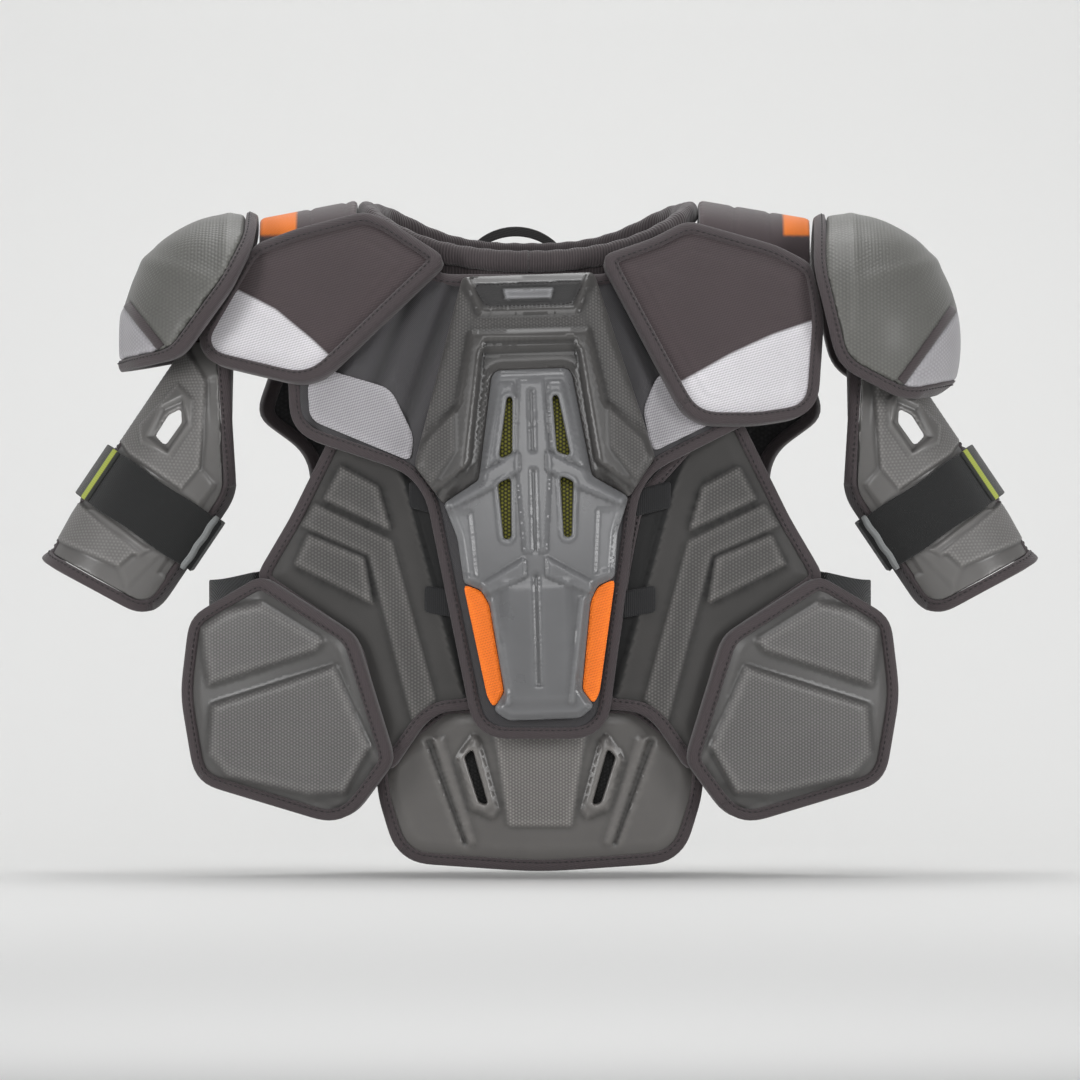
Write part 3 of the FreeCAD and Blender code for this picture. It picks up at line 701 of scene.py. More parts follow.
binding_tape = textile("binding_tape", binding_colour, "twill", 1.5 * mm, 0.22 * mm, 0.8, 0.25, 0.3)
thread_dark = textile("stitching_thread", thread_colour, "ribs", 0.8 * mm, 0.1 * mm, 0.6, 0.1, 0.2, source="object")
stretch_black = textile("black_stretch_fabric", stretch_colour, "weave", 1.3 * mm, 0.16 * mm, 0.55, 0.6, 0.5, painted_light_strength=0.8)


def drape(flat, deep):
    """Shallow folds in the stretch fabric between the collar and the sternum guard."""
    x, z = flat[:, 0], flat[:, 1]
    lean = np.abs(x) - 0.07 + 0.35 * z
    fold = np.sin(lean / (4.4 * mm) + 14 * z) * 2.0 * mm + np.sin(lean / (2.3 * mm) + 9 * z) * 0.7 * mm
    fold *= ramp(z, -0.17, -0.11) * ramp(np.abs(x), 0.03, 0.06)
    for corner in ("left_chest_mesh", "right_chest_mesh"):
        edge = loops_of(*facing(corner, towards_front))[0][:, [0, 2]]
        deep_in = outline_distance(flat, edge)
        fold = np.minimum(fold, 0) + np.maximum(fold, 0) * (1 - ramp(deep_in, -8 * mm, 0))
        fold -= 0.9 * mm * ramp(deep_in, -1 * mm, 4 * mm)
    return fold


yoke_pad, yoke_edge = bound_pad("chest_yoke_pad", "chest_yoke", yoke_mesh_pitch, crown=1.2, extra=drape)
finished(yoke_pad, stretch_black, "front")
tape("chest_yoke_tape", *yoke_edge, "front", "chest_yoke_binding")


# ---- Chest mesh corners -----------------------------------------------------------------------------------
# White spacer mesh sewn over the two lower corners of the yoke, stretched flat over the foam.
white_colour = (0.385, 0.373, 0.393)
mesh_sheet_pitch = 3.0 * mm
white_mesh = textile("white_spacer_mesh", white_colour, "twill", 1.9 * mm, 0.4 * mm, 0.7, 0.2, 0.9, 0.1)


def flat_sheet(name, node, body, stuff, pitch=mesh_sheet_pitch, way=-1, which=0, lift=0.0,
               thick=0.8 * mm, wave=0.0, ease=1):
    """A thin sheet cut to the outline of its plain solid and laid on the same curve."""
    loops = loops_of(*facing(node, outer_side(way)))
    outline = eased(resampled(loops[which], pitch), ease)[:, [0, 2]]
    flat, triangles = filled(outline, pitch)
    outer = curve_through(node, way)
    deep = outline_distance(flat, outline)
    slack = wave * np.sin(flat[:, 0] / (9 * mm) + flat[:, 1] / (14 * mm)) * ramp(deep, 0, 8 * mm)
    depth = outer(flat[:, 0], flat[:, 1]) + way * (lift + slack)
    piece, _ = closed_pad(name, flat, triangles, depth, depth - way * thick, bulge=0.1 * mm)
    finished(piece, stuff, body)
    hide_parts(node)
    return piece


for side in ("left", "right"):
    flat_sheet(f"{side}_chest_corner", f"{side}_chest_mesh", "front", white_mesh)


# ---- Sternum guard --------------------------------------------------------------------------------------
# A block of moulded grey foam on the breastbone with a window for the hard plate. It is moulded in one shot,
# with a grained face, bevelled ribs round the window, and a stitched patch under the collar.
foam_pitch = 2.1 * mm
foam_colour = (0.081, 0.077, 0.074)
badge_low, badge_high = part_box("sternum_badge")
shell_low, shell_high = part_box("sternum_shell")
shell_places, _ = mesh_arrays("sternum_shell")
shell_foot = shell_places[shell_places[:, 2] < shell_low.z + 4 * mm].mean(0)
badge_middle = (badge_low + badge_high) / 2
sternum_lean = math.atan2(shell_foot[0] - badge_middle.x, badge_middle.z - shell_foot[2])
badge_fall = 20.5       # mm from the top of the sternum guard's centre line to the middle of the badge


def on_sternum(corners):
    """Corners drawn as (across, distance down) in mm from the top of the sternum's centre line, as (x, z)."""
    out = []
    for across, fall in corners:
        down = fall - badge_fall
        out.append((badge_middle.x / mm + across * math.cos(sternum_lean) + down * math.sin(sternum_lean),
                    badge_middle.z / mm - down * math.cos(sternum_lean) + across * math.sin(sternum_lean)))
    return out


def both(corners):
    """The same patch on both sides of the centre line."""
    return [on_sternum(corners), on_sternum([(-x, f) for x, f in corners])]


def moulded(name, node, outline_step, pitch, patches, grain, body, stuff, crown=2.5, crown_width=6,
            holes=(), soft=1.0, ease=1, edge_drop=1.0, way=-1, side=1):
    """A moulded block with sharp ribs and bevels, cut to the outline of its plain solid."""
    loops = loops_of(*facing(node, outer_side(way)))
    outline = eased(resampled(loops[0], outline_step), ease)[:, [0, 2]]
    cuts = [eased(resampled(loops[k], outline_step * 0.7), 1)[:, [0, 2]] for k in holes]
    flat, triangles = filled(outline, pitch, cuts, creased(patches, side, pitch * 0.8))
    outer, inner = curve_through(node, way), curve_through(node, -way)
    deep = outline_distance(flat, outline)
    height = crown * mm * (ramp(deep, 0, crown_width * mm) - 1) + edge_drop * mm + raised(flat, patches, side)
    for cut in cuts:
        away = -outline_distance(flat, cut)
        height += 0.9 * mm * (1 - ramp(away, 1.0 * mm, 3.0 * mm)) - 1.4 * mm * (1 - ramp(away, 0, 1.0 * mm))
    piece, _ = closed_pad(name, flat, triangles, outer(flat[:, 0], flat[:, 1]) + way * height,
                          inner(flat[:, 0], flat[:, 1]), bulge=0.4 * mm)
    count, total = len(flat), len(piece.data.vertices)
    amount = within(flat, grain, side, soft=soft) if len(grain) else np.zeros(count)
    mark(piece, "grain", np.concatenate([amount, np.zeros(total - count)]))
    edge = np.clip(1 - deep / (3 * mm), 0, 1)
    mark(piece, "worn", np.concatenate([edge, np.zeros(total - count)]))
    finished(piece, stuff, body)
    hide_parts(node)
    return piece


grained_foam = textile("grained_grey_foam", foam_colour, "dots", 1.9 * mm, 0.34 * mm, 0.55, 0.06, 0.75, 0.25,
                       coat=0.18, grain="grain", plain_rough=0.33, painted_light_strength=0.75)
window_ring = [(-32, 56), (32, 56), (43, 133), (64, 158), (-64, 158), (-43, 133)]
u_frame = [(-38, 44), (38, 44), (48, 92), (74, 113), (79, 131), (60, 158), (-60, 158), (-79, 131), (-74, 113),
           (-48, 92)]
badge_rim = [(-43, 0), (43, 0), (32, 33), (-32, 33)]
badge_seat = [(-38.6, 7), (38.6, 7), (29.4, 29.4), (-29.4, 29.4)]
sternum_patches = [
    (on_sternum(u_frame), 2.6, 3.0),
    (on_sternum(window_ring), -3.0, 5.0),
    (on_sternum(badge_rim), 1.6, 2.5),
    (on_sternum(badge_seat), -1.6, 1.2),
]
upper_wing = [(44, 14), (51, 50), (61, 80), (74, 110), (71, 112), (50, 90), (40, 43), (36, 34)]
top_band = [(-34, 35), (34, 35), (37.5, 42.5), (-37.5, 42.5)]
lower_wing = [(50, 96), (70, 116), (75, 130), (66, 142), (50, 120)]
window_gap = [(-29, 50), (29, 50), (31, 60), (40, 128), (63, 146), (63, 160), (-63, 160), (-63, 146), (-40, 128),
              (-31, 60)]
sternum_patches.append((on_sternum(window_gap), -3.6, 1.6))
sternum_patches += [(c, 0.9, 2.0) for c in both(lower_wing)]
sternum_grain = both(upper_wing) + both(lower_wing) + [on_sternum(top_band)]
sternum_pad = moulded("sternum_guard", "sternum_foam", 2.2 * mm, foam_pitch, sternum_patches, sternum_grain,
                      "front", grained_foam)

# The patch: a thin moulded badge stitched into its seat. It carries a plain raised bar.
badge_rubber = textile("moulded_badge", (0.030, 0.029, 0.029), "twill", 1.4 * mm, 0.15 * mm, 0.5, 0.0, 0.2, 0.1,
                       coat=0.15, grain="grain", plain_rough=0.28, second=(0.16, 0.16, 0.165), second_mask="bar",
                       painted_light_strength=2.0)
badge_bar = [(-16, 17.2), (16, 17.2), (14.5, 23.4), (-14.5, 23.4)]
badge_field = [(-34, 13.8), (34, 13.8), (26.8, 27), (-26.8, 27)]
badge = moulded("sternum_patch", "sternum_badge", 1.6 * mm, 1.1 * mm,
                [(on_sternum(badge_field), -0.5, 1.0), (on_sternum(badge_bar), 1.2, 1.2)],
                [on_sternum(badge_field)], "front", badge_rubber, crown=0.6, crown_width=2,
                edge_drop=0.8)
badge_flat = places_of(badge)[:, [0, 2]]
mark(badge, "bar", within(badge_flat, [on_sternum(badge_bar)], soft=0.5))
badge_loop = loops_of(*facing("sternum_badge", towards_front))[0]
badge_row = eased(resampled(badge_loop, 2 * mm), 2)
badge_centre = badge_row.mean(0)
badge_row = badge_centre + (badge_row - badge_centre) * np.array([0.945, 1, 0.83]) + np.array([0, -1.1 * mm, 0])
badge_thread = stitches("sternum_patch_stitches", badge_row, np.tile([0.0, -1.0, 0.0], (len(badge_row), 1)),
                        2.6 * mm, 1.8 * mm, 0.3 * mm)
finished(badge_thread, thread_dark, "front")


# ---- Sternum plate ----------------------------------------------------------------------------------------
# The hard breastbone plate: injection-moulded in pale grey plastic, with four vents over olive mesh, a ribbed
# spine and two wings. It is riveted over the yoke from behind, with orange mesh beside its narrow foot.
plate_colour = (0.142, 0.143, 0.147)
plate_plastic, plate_tree, plate_shader, plate_add, plate_sums = nodes_of("satin_grey_plastic", plate_colour, 0.30,
                                                                          coat=0.30)
grease = plate_add("ShaderNodeTexNoise")
grease.inputs["Scale"].default_value = 38
grease.inputs["Detail"].default_value = 5
plate_spot = plate_add("ShaderNodeTexCoord").outputs["Object"]
plate_tree.links.new(plate_spot, grease.inputs["Vector"])
plate_tree.links.new(plate_sums("MULTIPLY_ADD", grease.outputs["Fac"], 0.16, 0.22), plate_shader.inputs["Roughness"])
scuffs = plate_add("ShaderNodeTexNoise")
scuffs.inputs["Scale"].default_value = 700
plate_tree.links.new(plate_spot, scuffs.inputs["Vector"])
# Painted light: the plate's colour is lightened on crests as a painted highlight and darkened in ditches as painted
# shade; the wing insets are also made paler.
plate_painted_light_and_pale = plate_add("ShaderNodeAttribute", attribute_name="painted_relief_light").outputs["Fac"]
plate_pale = plate_add("ShaderNodeAttribute", attribute_name="pale").outputs["Fac"]
plate_painted_light_and_pale = plate_sums("ADD", plate_painted_light_and_pale, plate_sums("MULTIPLY", plate_pale, 0.75))
plate_light = plate_sums("ADD", plate_sums("MULTIPLY", plate_painted_light_and_pale, 0.5),
                         plate_sums("MULTIPLY_ADD", grease.outputs["Fac"], 0.22, 0.89))
plate_tint = plate_add("ShaderNodeVectorMath", operation="SCALE")
plate_tint.inputs[0].default_value = plate_colour
plate_tree.links.new(plate_light, plate_tint.inputs["Scale"])
plate_tree.links.new(plate_tint.outputs[0], plate_shader.inputs["Base Color"])
plate_bump = plate_add("ShaderNodeBump")
plate_bump.inputs["Distance"].default_value = 0.05 * mm
plate_bump.inputs["Strength"].default_value = 0.5
plate_tree.links.new(scuffs.outputs["Fac"], plate_bump.inputs["Height"])
plate_tree.links.new(plate_bump.outputs[0], plate_shader.inputs["Normal"])

# Each rib and groove is listed as corners (across, down) with its height and its bevel, in mm.
wing_band = [(9, 122), (17, 126), (60, 149), (57, 158), (30, 146), (9, 134)]
wing_inset = [(41, 160), (55, 160), (49.5, 198), (38, 201)]
upper_field = [(11, 78), (20, 78), (31, 132), (12, 120)]
spine = [(-8, 76), (8, 76), (11, 130), (7, 186), (-7, 186), (-11, 130)]
chevron = [(7, 190), (35, 206), (36, 214), (7, 202)]
foot_field = [(-21, 206), (21, 206), (20, 282), (-20, 282)]
long_grooves = [[(-1.8, 133), (1.8, 133), (1.8, 186), (-1.8, 186)], [(-1.6, 200), (1.6, 200), (1.6, 272), (-1.6, 272)],
                [(-1.6, 82), (1.6, 82), (1.6, 122), (-1.6, 122)]]
side_ridge = [(27.5, 216), (30.5, 216), (21.5, 284), (18.5, 284)]
plate_patches = [(c, 2.2, 1.8) for c in both(wing_band)]
plate_patches += [(c, -1.5, 2.3) for c in both(wing_inset)]
plate_patches += [(c, 1.6, 2.2) for c in both(upper_field)]
plate_patches += [(on_sternum(spine), 1.1, 1.8), (on_sternum(foot_field), 1.2, 7.0)]
plate_patches += [(c, 1.9, 1.8) for c in both(chevron)]
plate_patches += [(on_sternum(c), -1.6, 1.2) for c in long_grooves]
plate_patches += [(c, 1.3, 1.4) for c in both(side_ridge)]
sternum_plate = moulded("sternum_plate", "sternum_shell", 1.8 * mm, 1.6 * mm, plate_patches, [], "front",
                        plate_plastic, crown=3.2, crown_width=4.5, holes=(1, 2, 3, 4))
mark(sternum_plate, "pale", within(places_of(sternum_plate)[:, [0, 2]], both(wing_inset), soft=0.8))
olive_mesh = textile("olive_vent_mesh", (0.24, 0.23, 0.03), "dots", 2.2 * mm, 0.5 * mm, 0.6, 0.1, 1.9, 0.1)
flat_sheet("vent_mesh", "sternum_vent_mesh", "front", olive_mesh)
orange_cloth = textile("orange_spacer_mesh", (1.0, 0.205, 0.010), "twill", 1.8 * mm, 0.4 * mm, 0.65, 0.1, 0.6, 0.08)
for which, name in enumerate(("foot_mesh_a", "foot_mesh_b")):
    flat_sheet(name, "sternum_side_mesh", "front", orange_cloth, which=which,
               pitch=2.2 * mm, thick=1.6 * mm, lift=-1.0 * mm)


# ---- Rib panels -------------------------------------------------------------------------------------------
# Soft dark panels over the ribs: foam under brushed knit, with raised grained blocks moulded in, a lining
# behind and bound edges. Black elastic tabs join each one to the yoke across an open strip of black mesh.
suede_colour = (0.090, 0.086, 0.082)
rib_suede = textile("brushed_rib_knit", suede_colour, "dots", 2.0 * mm, 0.36 * mm, 0.6, 0.25, 0.85, 0.3, grain="grain",
                    plain_rough=0.8, second=(0.016, 0.016, 0.016), second_mask="open", painted_light_strength=1.1, coat=0.06)
lining_cloth = textile("brushed_lining", (0.035, 0.035, 0.037), "weave", 1.1 * mm, 0.14 * mm, 0.92, 0.4, 0.25)
elastic_cloth = textile("knitted_elastic", (0.010, 0.010, 0.011), "ribs", 1.3 * mm, 0.22 * mm, 0.75, 0.2, 0.5)
top_block = [(104, -171), (128, -158), (139, -179), (96, -199)]
side_block = [(149, -202), (113, -217), (108, -246), (158, -221)]
long_band = [(145, -182), (95, -206), (67, -308), (82, -321), (110, -215), (154, -196)]
mesh_strip = [(93, -150), (86, -166), (48, -304), (30, -310), (30, -240), (60, -160)]
open_strip = [(96, -150), (87, -170), (50, -302), (47, -330), (20, -330), (20, -240), (60, -150)]
rib_patches = [(top_block, 3.8, 2.6), (side_block, 3.8, 2.6), (long_band, 2.0, 2.0), (mesh_strip, -1.8, 2.4)]
for side, sign in (("left", 1), ("right", -1)):
    panel, edge = bound_pad(f"{side}_rib_pad", f"{side}_rib_panel", 2.2 * mm, rib_patches,
                            [top_block, side_block, long_band], sign, crown=1.8)
    mark(panel, "open", within(places_of(panel)[:, [0, 2]], [open_strip], sign, soft=0.6))
    finished(panel, rib_suede, "front")
    tape(f"{side}_rib_tape", *edge, "front", f"{side}_rib_panel_binding")
    flat_sheet(f"{side}_rib_lining", f"{side}_rib_liner", "front", lining_cloth,
               pitch=4.5 * mm, way=1, wave=0.25 * mm, thick=0.9 * mm)
for which in range(4):
    flat_sheet(f"elastic_tab_{which + 1}", "yoke_tethers", "front", elastic_cloth,
               which=which, pitch=1.8 * mm, thick=1.0 * mm, lift=0.9 * mm)


# ---- Rib guards -------------------------------------------------------------------------------------------
# A moulded foam block on each side that wraps the ribs, sewn to the rib panel along its slanted inner edge.
# The face has two grained fields with a groove between them, and a smooth bevel all round.
upper_field = [(179, -246), (140, -270), (144, -276), (213, -298), (218, -262), (203, -251)]
lower_field = [(132, -287), (211, -312), (213, -343), (201, -357), (150, -368), (126, -367), (110, -338)]
corner_facet = [(110, -340), (126, -369), (150, -372), (128, -381), (103, -352)]
guard_patches = [(upper_field, 4.2, 5.0), (lower_field, 4.2, 5.5), (corner_facet, -1.6, 4.0)]
# Painted light: the same grained foam as the sternum guard in a lighter colour, standing in for the stronger light the
# lower pads catch.
guard_foam = textile("grained_guard_foam", (0.142, 0.137, 0.133), "dots", 1.9 * mm, 0.34 * mm, 0.55, 0.06, 0.75, 0.25,
                     coat=0.18, grain="grain", plain_rough=0.33, painted_light_strength=0.75)
for side, sign in (("left", 1), ("right", -1)):
    guard, edge = bound_pad(f"{side}_rib_block", f"{side}_rib_guard", 2.0 * mm, guard_patches,
                            [upper_field, lower_field], sign, crown=2.4, crown_width=10)
    finished(guard, guard_foam, f"{side}_rib_wing")
    tape(f"{side}_rib_guard_tape", *edge, f"{side}_rib_wing", f"{side}_rib_guard_binding")


# ---- Belly guard ------------------------------------------------------------------------------------------
# The apron below the ribs: moulded foam with a grained middle, two slanted vents with raised rims, and a bound
# edge. It is sewn on behind the yoke and folds in when the wearer bends.
belly_middle = [(-29, -330), (29, -330), (20, -389), (-20, -389)]
vent_rim = [(53, -346), (43, -331), (39, -334), (27, -379), (30, -384), (44, -378)]
apron_edge = [(74, -334), (49, -402), (46, -401), (69, -333)]
apron_ridge = [(69, -333), (46, -401), (41, -400), (62, -332)]
belly_patches = [(belly_middle, 2.2, 2.4)]
for corners, up, bevel in ((vent_rim, 3.0, 3.0), (apron_edge, -2.4, 2.2), (apron_ridge, 1.4, 2.2)):
    belly_patches += [(corners, up, bevel), ([(-x, z) for x, z in corners], up, bevel)]
slots = [eased(resampled(l, 1.6 * mm), 1)[:, [0, 2]] for l in loops_of(*facing("belly_guard", towards_front))[1:3]]
belly, edge = bound_pad("belly_block", "belly_guard", 2.0 * mm, belly_patches, [belly_middle], crown=2.2, holes=slots)
slot_cloth = textile("slot_mesh_cloth", (0.018, 0.018, 0.018), "dots", 2.2 * mm, 0.4 * mm, 0.7, 0.1, 1.2, 0.1)
# Painted light: the same grained foam in a still lighter colour, standing in for the stronger light that falls on the
# apron.
belly_foam = textile("grained_apron_foam", (0.195, 0.185, 0.176), "dots", 1.9 * mm, 0.34 * mm, 0.55, 0.06, 0.75, 0.25,
                     coat=0.18, grain="grain", plain_rough=0.33, painted_light_strength=0.75)
finished(belly, belly_foam, "belly_apron")
inner_of = curve_through("belly_guard", 1)
for name, slot_edge in (("slot_mesh_a", slots[0]), ("slot_mesh_b", slots[1])):
    wide = slot_edge.mean(0) + (slot_edge - slot_edge.mean(0)) * np.array([1.9, 1.25])
    flat, triangles = filled(wide, 2.4 * mm)
    depth = inner_of(flat[:, 0], flat[:, 1]) - 1.4 * mm
    backing, _ = closed_pad(name, flat, triangles, depth - 0.5 * mm, depth, bulge=0.1 * mm)
    finished(backing, slot_cloth, "belly_apron")
    size = np.ptp(flat, axis=0)
tape("belly_tape", *edge, "belly_apron", "belly_guard_binding")


# ---- Clavicle flaps ---------------------------------------------------------------------------------------
# Two padded flaps over the collarbones: soft foam in a fine brown-grey weave, with a white mesh corner sewn in.
# They are sewn on along the top and lift with the arm.
flap_colour = (0.064, 0.047, 0.050)
flap_cloth = textile("fine_flap_weave", flap_colour, "twill", 1.7 * mm, 0.3 * mm, 0.85, 0.3, 0.8, 0.2,
                     second=(0.70, 0.68, 0.71), second_mask="white")
white_fields = {
    "left": [(84, -108), (90, -104), (122, -86), (150, -73), (178, -63), (196, -60), (196, -145), (80, -140)],
    "right": [(-240, -20), (-201, -41), (-183, -50), (-170, -57), (-158, -67), (-147, -76), (-130, -92),
              (-120, -104), (-150, -135), (-245, -120)],
}


def puffed(piece, pressure, cap, keep_fixed, frames=20, stiff=12):
    """Lets air pressure swell a closed pad, with its edges held by the tape, and keeps the swelling in bounds."""
    held = piece.vertex_groups.new(name="held")
    held.add([int(i) for i in np.flatnonzero(keep_fixed)], 1.0, "REPLACE")
    before = places_of(piece)
    cloth = piece.modifiers.new("cloth", "CLOTH")
    cloth.settings.quality = 4
    cloth.settings.mass = 0.2
    cloth.settings.tension_stiffness = stiff
    cloth.settings.compression_stiffness = stiff
    cloth.settings.bending_stiffness = 0.6
    cloth.settings.use_pressure = True
    cloth.settings.uniform_pressure_force = pressure
    cloth.settings.effector_weights.gravity = 0
    cloth.settings.vertex_group_mass = "held"
    cloth.point_cache.frame_start, cloth.point_cache.frame_end = 1, frames
    scene = bpy.context.scene
    for step in range(1, frames + 1):
        scene.frame_set(step)
    shape = piece.evaluated_get(bpy.context.evaluated_depsgraph_get()).to_mesh()
    after = np.empty(len(shape.vertices) * 3)
    shape.vertices.foreach_get("co", after)
    after = after.reshape(-1, 3)
    piece.modifiers.remove(cloth)
    piece.vertex_groups.remove(held)
    scene.frame_set(1)
    moved = after - before
    far = np.linalg.norm(moved, axis=1)
    put(piece, before + moved * np.minimum(1, cap / np.maximum(far, 1e-9))[:, None])


for side in ("left", "right"):

    def seams(flat, deep, side=side):
        """A sewn line along the edge nearest the neck, and the ditch where the white corner is sewn in."""
        corner = outline_distance(flat, np.array(white_fields[side]) * mm)
        ditch = -0.9 * mm * np.exp(-(corner / (1.3 * mm)) ** 2)
        line = -0.8 * mm * np.exp(-((deep - 13 * mm) / (1.2 * mm)) ** 2) * ramp(-np.abs(flat[:, 0]), -0.13, -0.10)
        return ditch + line

    flap, edge = bound_pad(f"{side}_clavicle_pad", f"{side}_clavicle_flap", 2.2 * mm, crown=2.6, crown_width=16,
                           extra=seams, lines=[(white_fields[side], 0, 1.6)])
    everywhere = places_of(flap)
    held_rim = np.abs(outline_distance(everywhere[:, [0, 2]], ((edge[0] + edge[1]) / 2)[:, [0, 2]])) < 3 * mm
    puffed(flap, 3.0, 2.2 * mm, held_rim)
    mark(flap, "white", within(everywhere[:, [0, 2]], [white_fields[side]], soft=0.75))
    finished(flap, flap_cloth, f"{side}_chest_flap")
    tape(f"{side}_clavicle_tape", *edge, f"{side}_chest_flap", f"{side}_clavicle_flap_binding")


# ---- Neck roll and shoulder bridges -----------------------------------------------------------------------
# The neck opening is edged with a soft roll covered in ribbed knit. A padded bridge on each shoulder joins
# the front to the back and folds where they part. An orange link band shows at its outer end.
neck_skin = 1.5 * mm
bridge_skin = 1.9 * mm


def remade(name, nodes, grid, rounds=3, lift=None):
    """One closed, evenly meshed skin over plain solids that touch, with its corners eased by that many rounds.
    lift gives the height to add, from the places and normals of the skin."""
    joined = bmesh.new()
    for node in nodes:
        joined.from_mesh(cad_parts[node].data)
    bmesh.ops.remove_doubles(joined, verts=joined.verts, dist=1e-6)
    source = bpy.data.meshes.new(name)
    joined.to_mesh(source)
    joined.free()
    piece = bpy.data.objects.new(name, source)
    bpy.context.scene.collection.objects.link(piece)
    skin = piece.modifiers.new("skin", "REMESH")
    skin.mode = "VOXEL"
    skin.voxel_size = grid
    ease = piece.modifiers.new("ease", "SMOOTH")
    ease.factor = 0.5
    ease.iterations = rounds
    done = bpy.data.meshes.new_from_object(piece.evaluated_get(bpy.context.evaluated_depsgraph_get()))
    piece.modifiers.clear()
    piece.data = done
    done.name = name
    done.polygons.foreach_set("use_smooth", [True] * len(done.polygons))
    places = places_of(piece)
    facing_way = np.empty(len(places) * 3)
    done.vertices.foreach_get("normal", facing_way)
    facing_way = facing_way.reshape(-1, 3)
    mark(piece, "cut", places)
    weights = np.abs(facing_way) ** 5
    mark(piece, "sides", weights / weights.sum(1)[:, None])
    if lift is not None:
        put(piece, places + facing_way * lift(places, facing_way)[:, None])
    mark_relief_shading(piece, 1.3 * mm, 2)
    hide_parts(*nodes)
    return piece


neck_knit = textile("ribbed_neck_knit", (0.058, 0.047, 0.049), "ribs", 2.0 * mm, 0.35 * mm, 0.9, 0.3, 0.6)
roll_low, roll_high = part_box("back_collar")
roll_middle = np.array([(roll_low.x + roll_high.x) / 2, 0.004])


def knit_swell(places, ways):
    """The roll's knit is pulled in a little every few ribs, and the roll swells a little all over."""
    around = np.arctan2(places[:, 0] - roll_middle[0], places[:, 1] - roll_middle[1]) * 95 * mm
    return 0.25 * mm * np.sin(around / (2.4 * mm)) + 0.5 * mm


neck_roll = remade("neck_roll", ["front_collar", "back_collar"], neck_skin, 4, knit_swell)
spots = places_of(neck_roll)
round_neck = np.arctan2(spots[:, 0] - roll_middle[0], spots[:, 1] - roll_middle[1]) * 95 * mm
mark(neck_roll, "cut", np.column_stack([round_neck, spots[:, 2], spots[:, 1]]))
finished(neck_roll, neck_knit)
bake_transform(neck_roll)

# A strip of the same knit hangs inside the roll, down behind the top edge of the yoke.
front_spots = mesh_arrays("front_collar")[0]
turns = np.arctan2(front_spots[:, 0] - roll_middle[0], -front_spots[:, 1])
facing_rows = []
for turn in np.linspace(-1.25, 1.25, 60):
    here = front_spots[np.abs(turns - turn) < 0.07]
    if len(here) > 3:
        facing_rows.append(here.mean(0))
facing_rows = np.array(facing_rows)
for _ in range(3):
    facing_rows[1:-1] = 0.5 * facing_rows[1:-1] + 0.25 * (facing_rows[:-2] + facing_rows[2:])
strip_places, strip_faces = [], []
for i, spot in enumerate(facing_rows):
    away = np.array([spot[0] - roll_middle[0], spot[1], 0])
    away /= np.linalg.norm(away)
    for drop, out_by in ((0, -1), (5, -0.5), (10, 0), (15, 0), (15, -1.2), (10, -1.2), (5, -1.7), (0, -2.2)):
        strip_places.append(spot + away * out_by * mm - np.array([0, 0, drop * mm]))
    if i:
        for k in range(8):
            m = (k + 1) % 8
            b = (i - 1) * 8
            strip_faces.append((b + k, b + m, b + m + 8, b + k + 8))
neck_facing = object_from("neck_facing", strip_places, strip_faces)
mark(neck_facing, "cut", np.column_stack([places_of(neck_facing)[:, 0], places_of(neck_facing)[:, 2],
                                          places_of(neck_facing)[:, 1]]))
finished(neck_facing, neck_knit, "front")

bridge_cloth = textile("bridge_weave", flap_colour, "weave", 1.1 * mm, 0.16 * mm, 0.85, 0.3, 0.25, source="box",
                       second=(0.86, 0.20, 0.01), second_mask="orange")
for side, sign in (("left", 1), ("right", -1)):

    def bridge_seams(places, ways):
        """Two stitched ditches that run over the shoulder, either side of a padded ridge."""
        across = np.abs(places[:, 0])
        ditch = sum(np.exp(-((across - at * mm) / (1.6 * mm)) ** 2) for at in (126, 149))
        return (0.6 * ways[:, 2].clip(0) - 1.1 * ditch * ways[:, 2].clip(0)) * mm

    bridge = remade(f"{side}_shoulder_bridge", [f"{side}_shoulder_arch", f"{side}_back_arch"], bridge_skin, 3,
                    bridge_seams)
    spots = places_of(bridge)
    mark(bridge, "orange", ramp(np.abs(spots[:, 0]), 0.157, 0.159) * ramp(spots[:, 1], 0.006, 0.004) *
         ramp(spots[:, 2], -0.009, -0.007))
    finished(bridge, bridge_cloth)
    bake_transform(bridge)

# A loop of flat webbing behind the neck, to hang the pads up by.
webbing_cloth = textile("woven_webbing", (0.042, 0.040, 0.040), "twill", 1.6 * mm, 0.25 * mm, 0.75, 0.15, 0.5,
                        source="box")
loop = remade("hanger_webbing", ["hanger_loop"], 0.5 * mm, 2)
finished(loop, webbing_cloth, "hanger")


# ---- Shoulder caps ----------------------------------------------------------------------------------------
# A domed cap over each shoulder: a plastic dome under grained grey fabric, with a white mesh corner beyond a
# sewn strip, a lining inside and a bound rim. It is hinged on the outer end of the bridge.
cap_colour = (0.125, 0.124, 0.114)
cap_skin = 2.0 * mm
cap_middle = np.array([200, 0, -77]) * mm       # the middle of the left cap's dome
strip_lines = {"left": ((271, -46), (232, -99)), "right": ((-265, -51), (-243, -78))}
cap_cloth = textile("grained_cap_cover", cap_colour, "dots", 2.2 * mm, 0.32 * mm, 0.55, 0.12, 0.35, 0.2, coat=0.12,
                    source="box", second=white_colour, second_mask="white", painted_light_strength=0.5)
cap_strip = textile("cap_strip_tape", binding_colour, "twill", 1.5 * mm, 0.2 * mm, 0.8, 0.25, 0.3, source="box")
cap_inside = textile("cap_lining_knit", (0.030, 0.029, 0.030), "weave", 1.2 * mm, 0.15 * mm, 0.9, 0.3, 0.3,
                     source="box")


def line_distance(places, line):
    """How far each place lies beyond a line in the front view, on the side away from the neck."""
    (ax, az), (bx, bz) = np.array(line) * mm
    way = np.array([bz - az, -(bx - ax)])
    way /= np.linalg.norm(way)
    away = (places[:, 0] - ax) * way[0] + (places[:, 2] - az) * way[1]
    return away * (1 if way[0] * ax > 0 else -1)


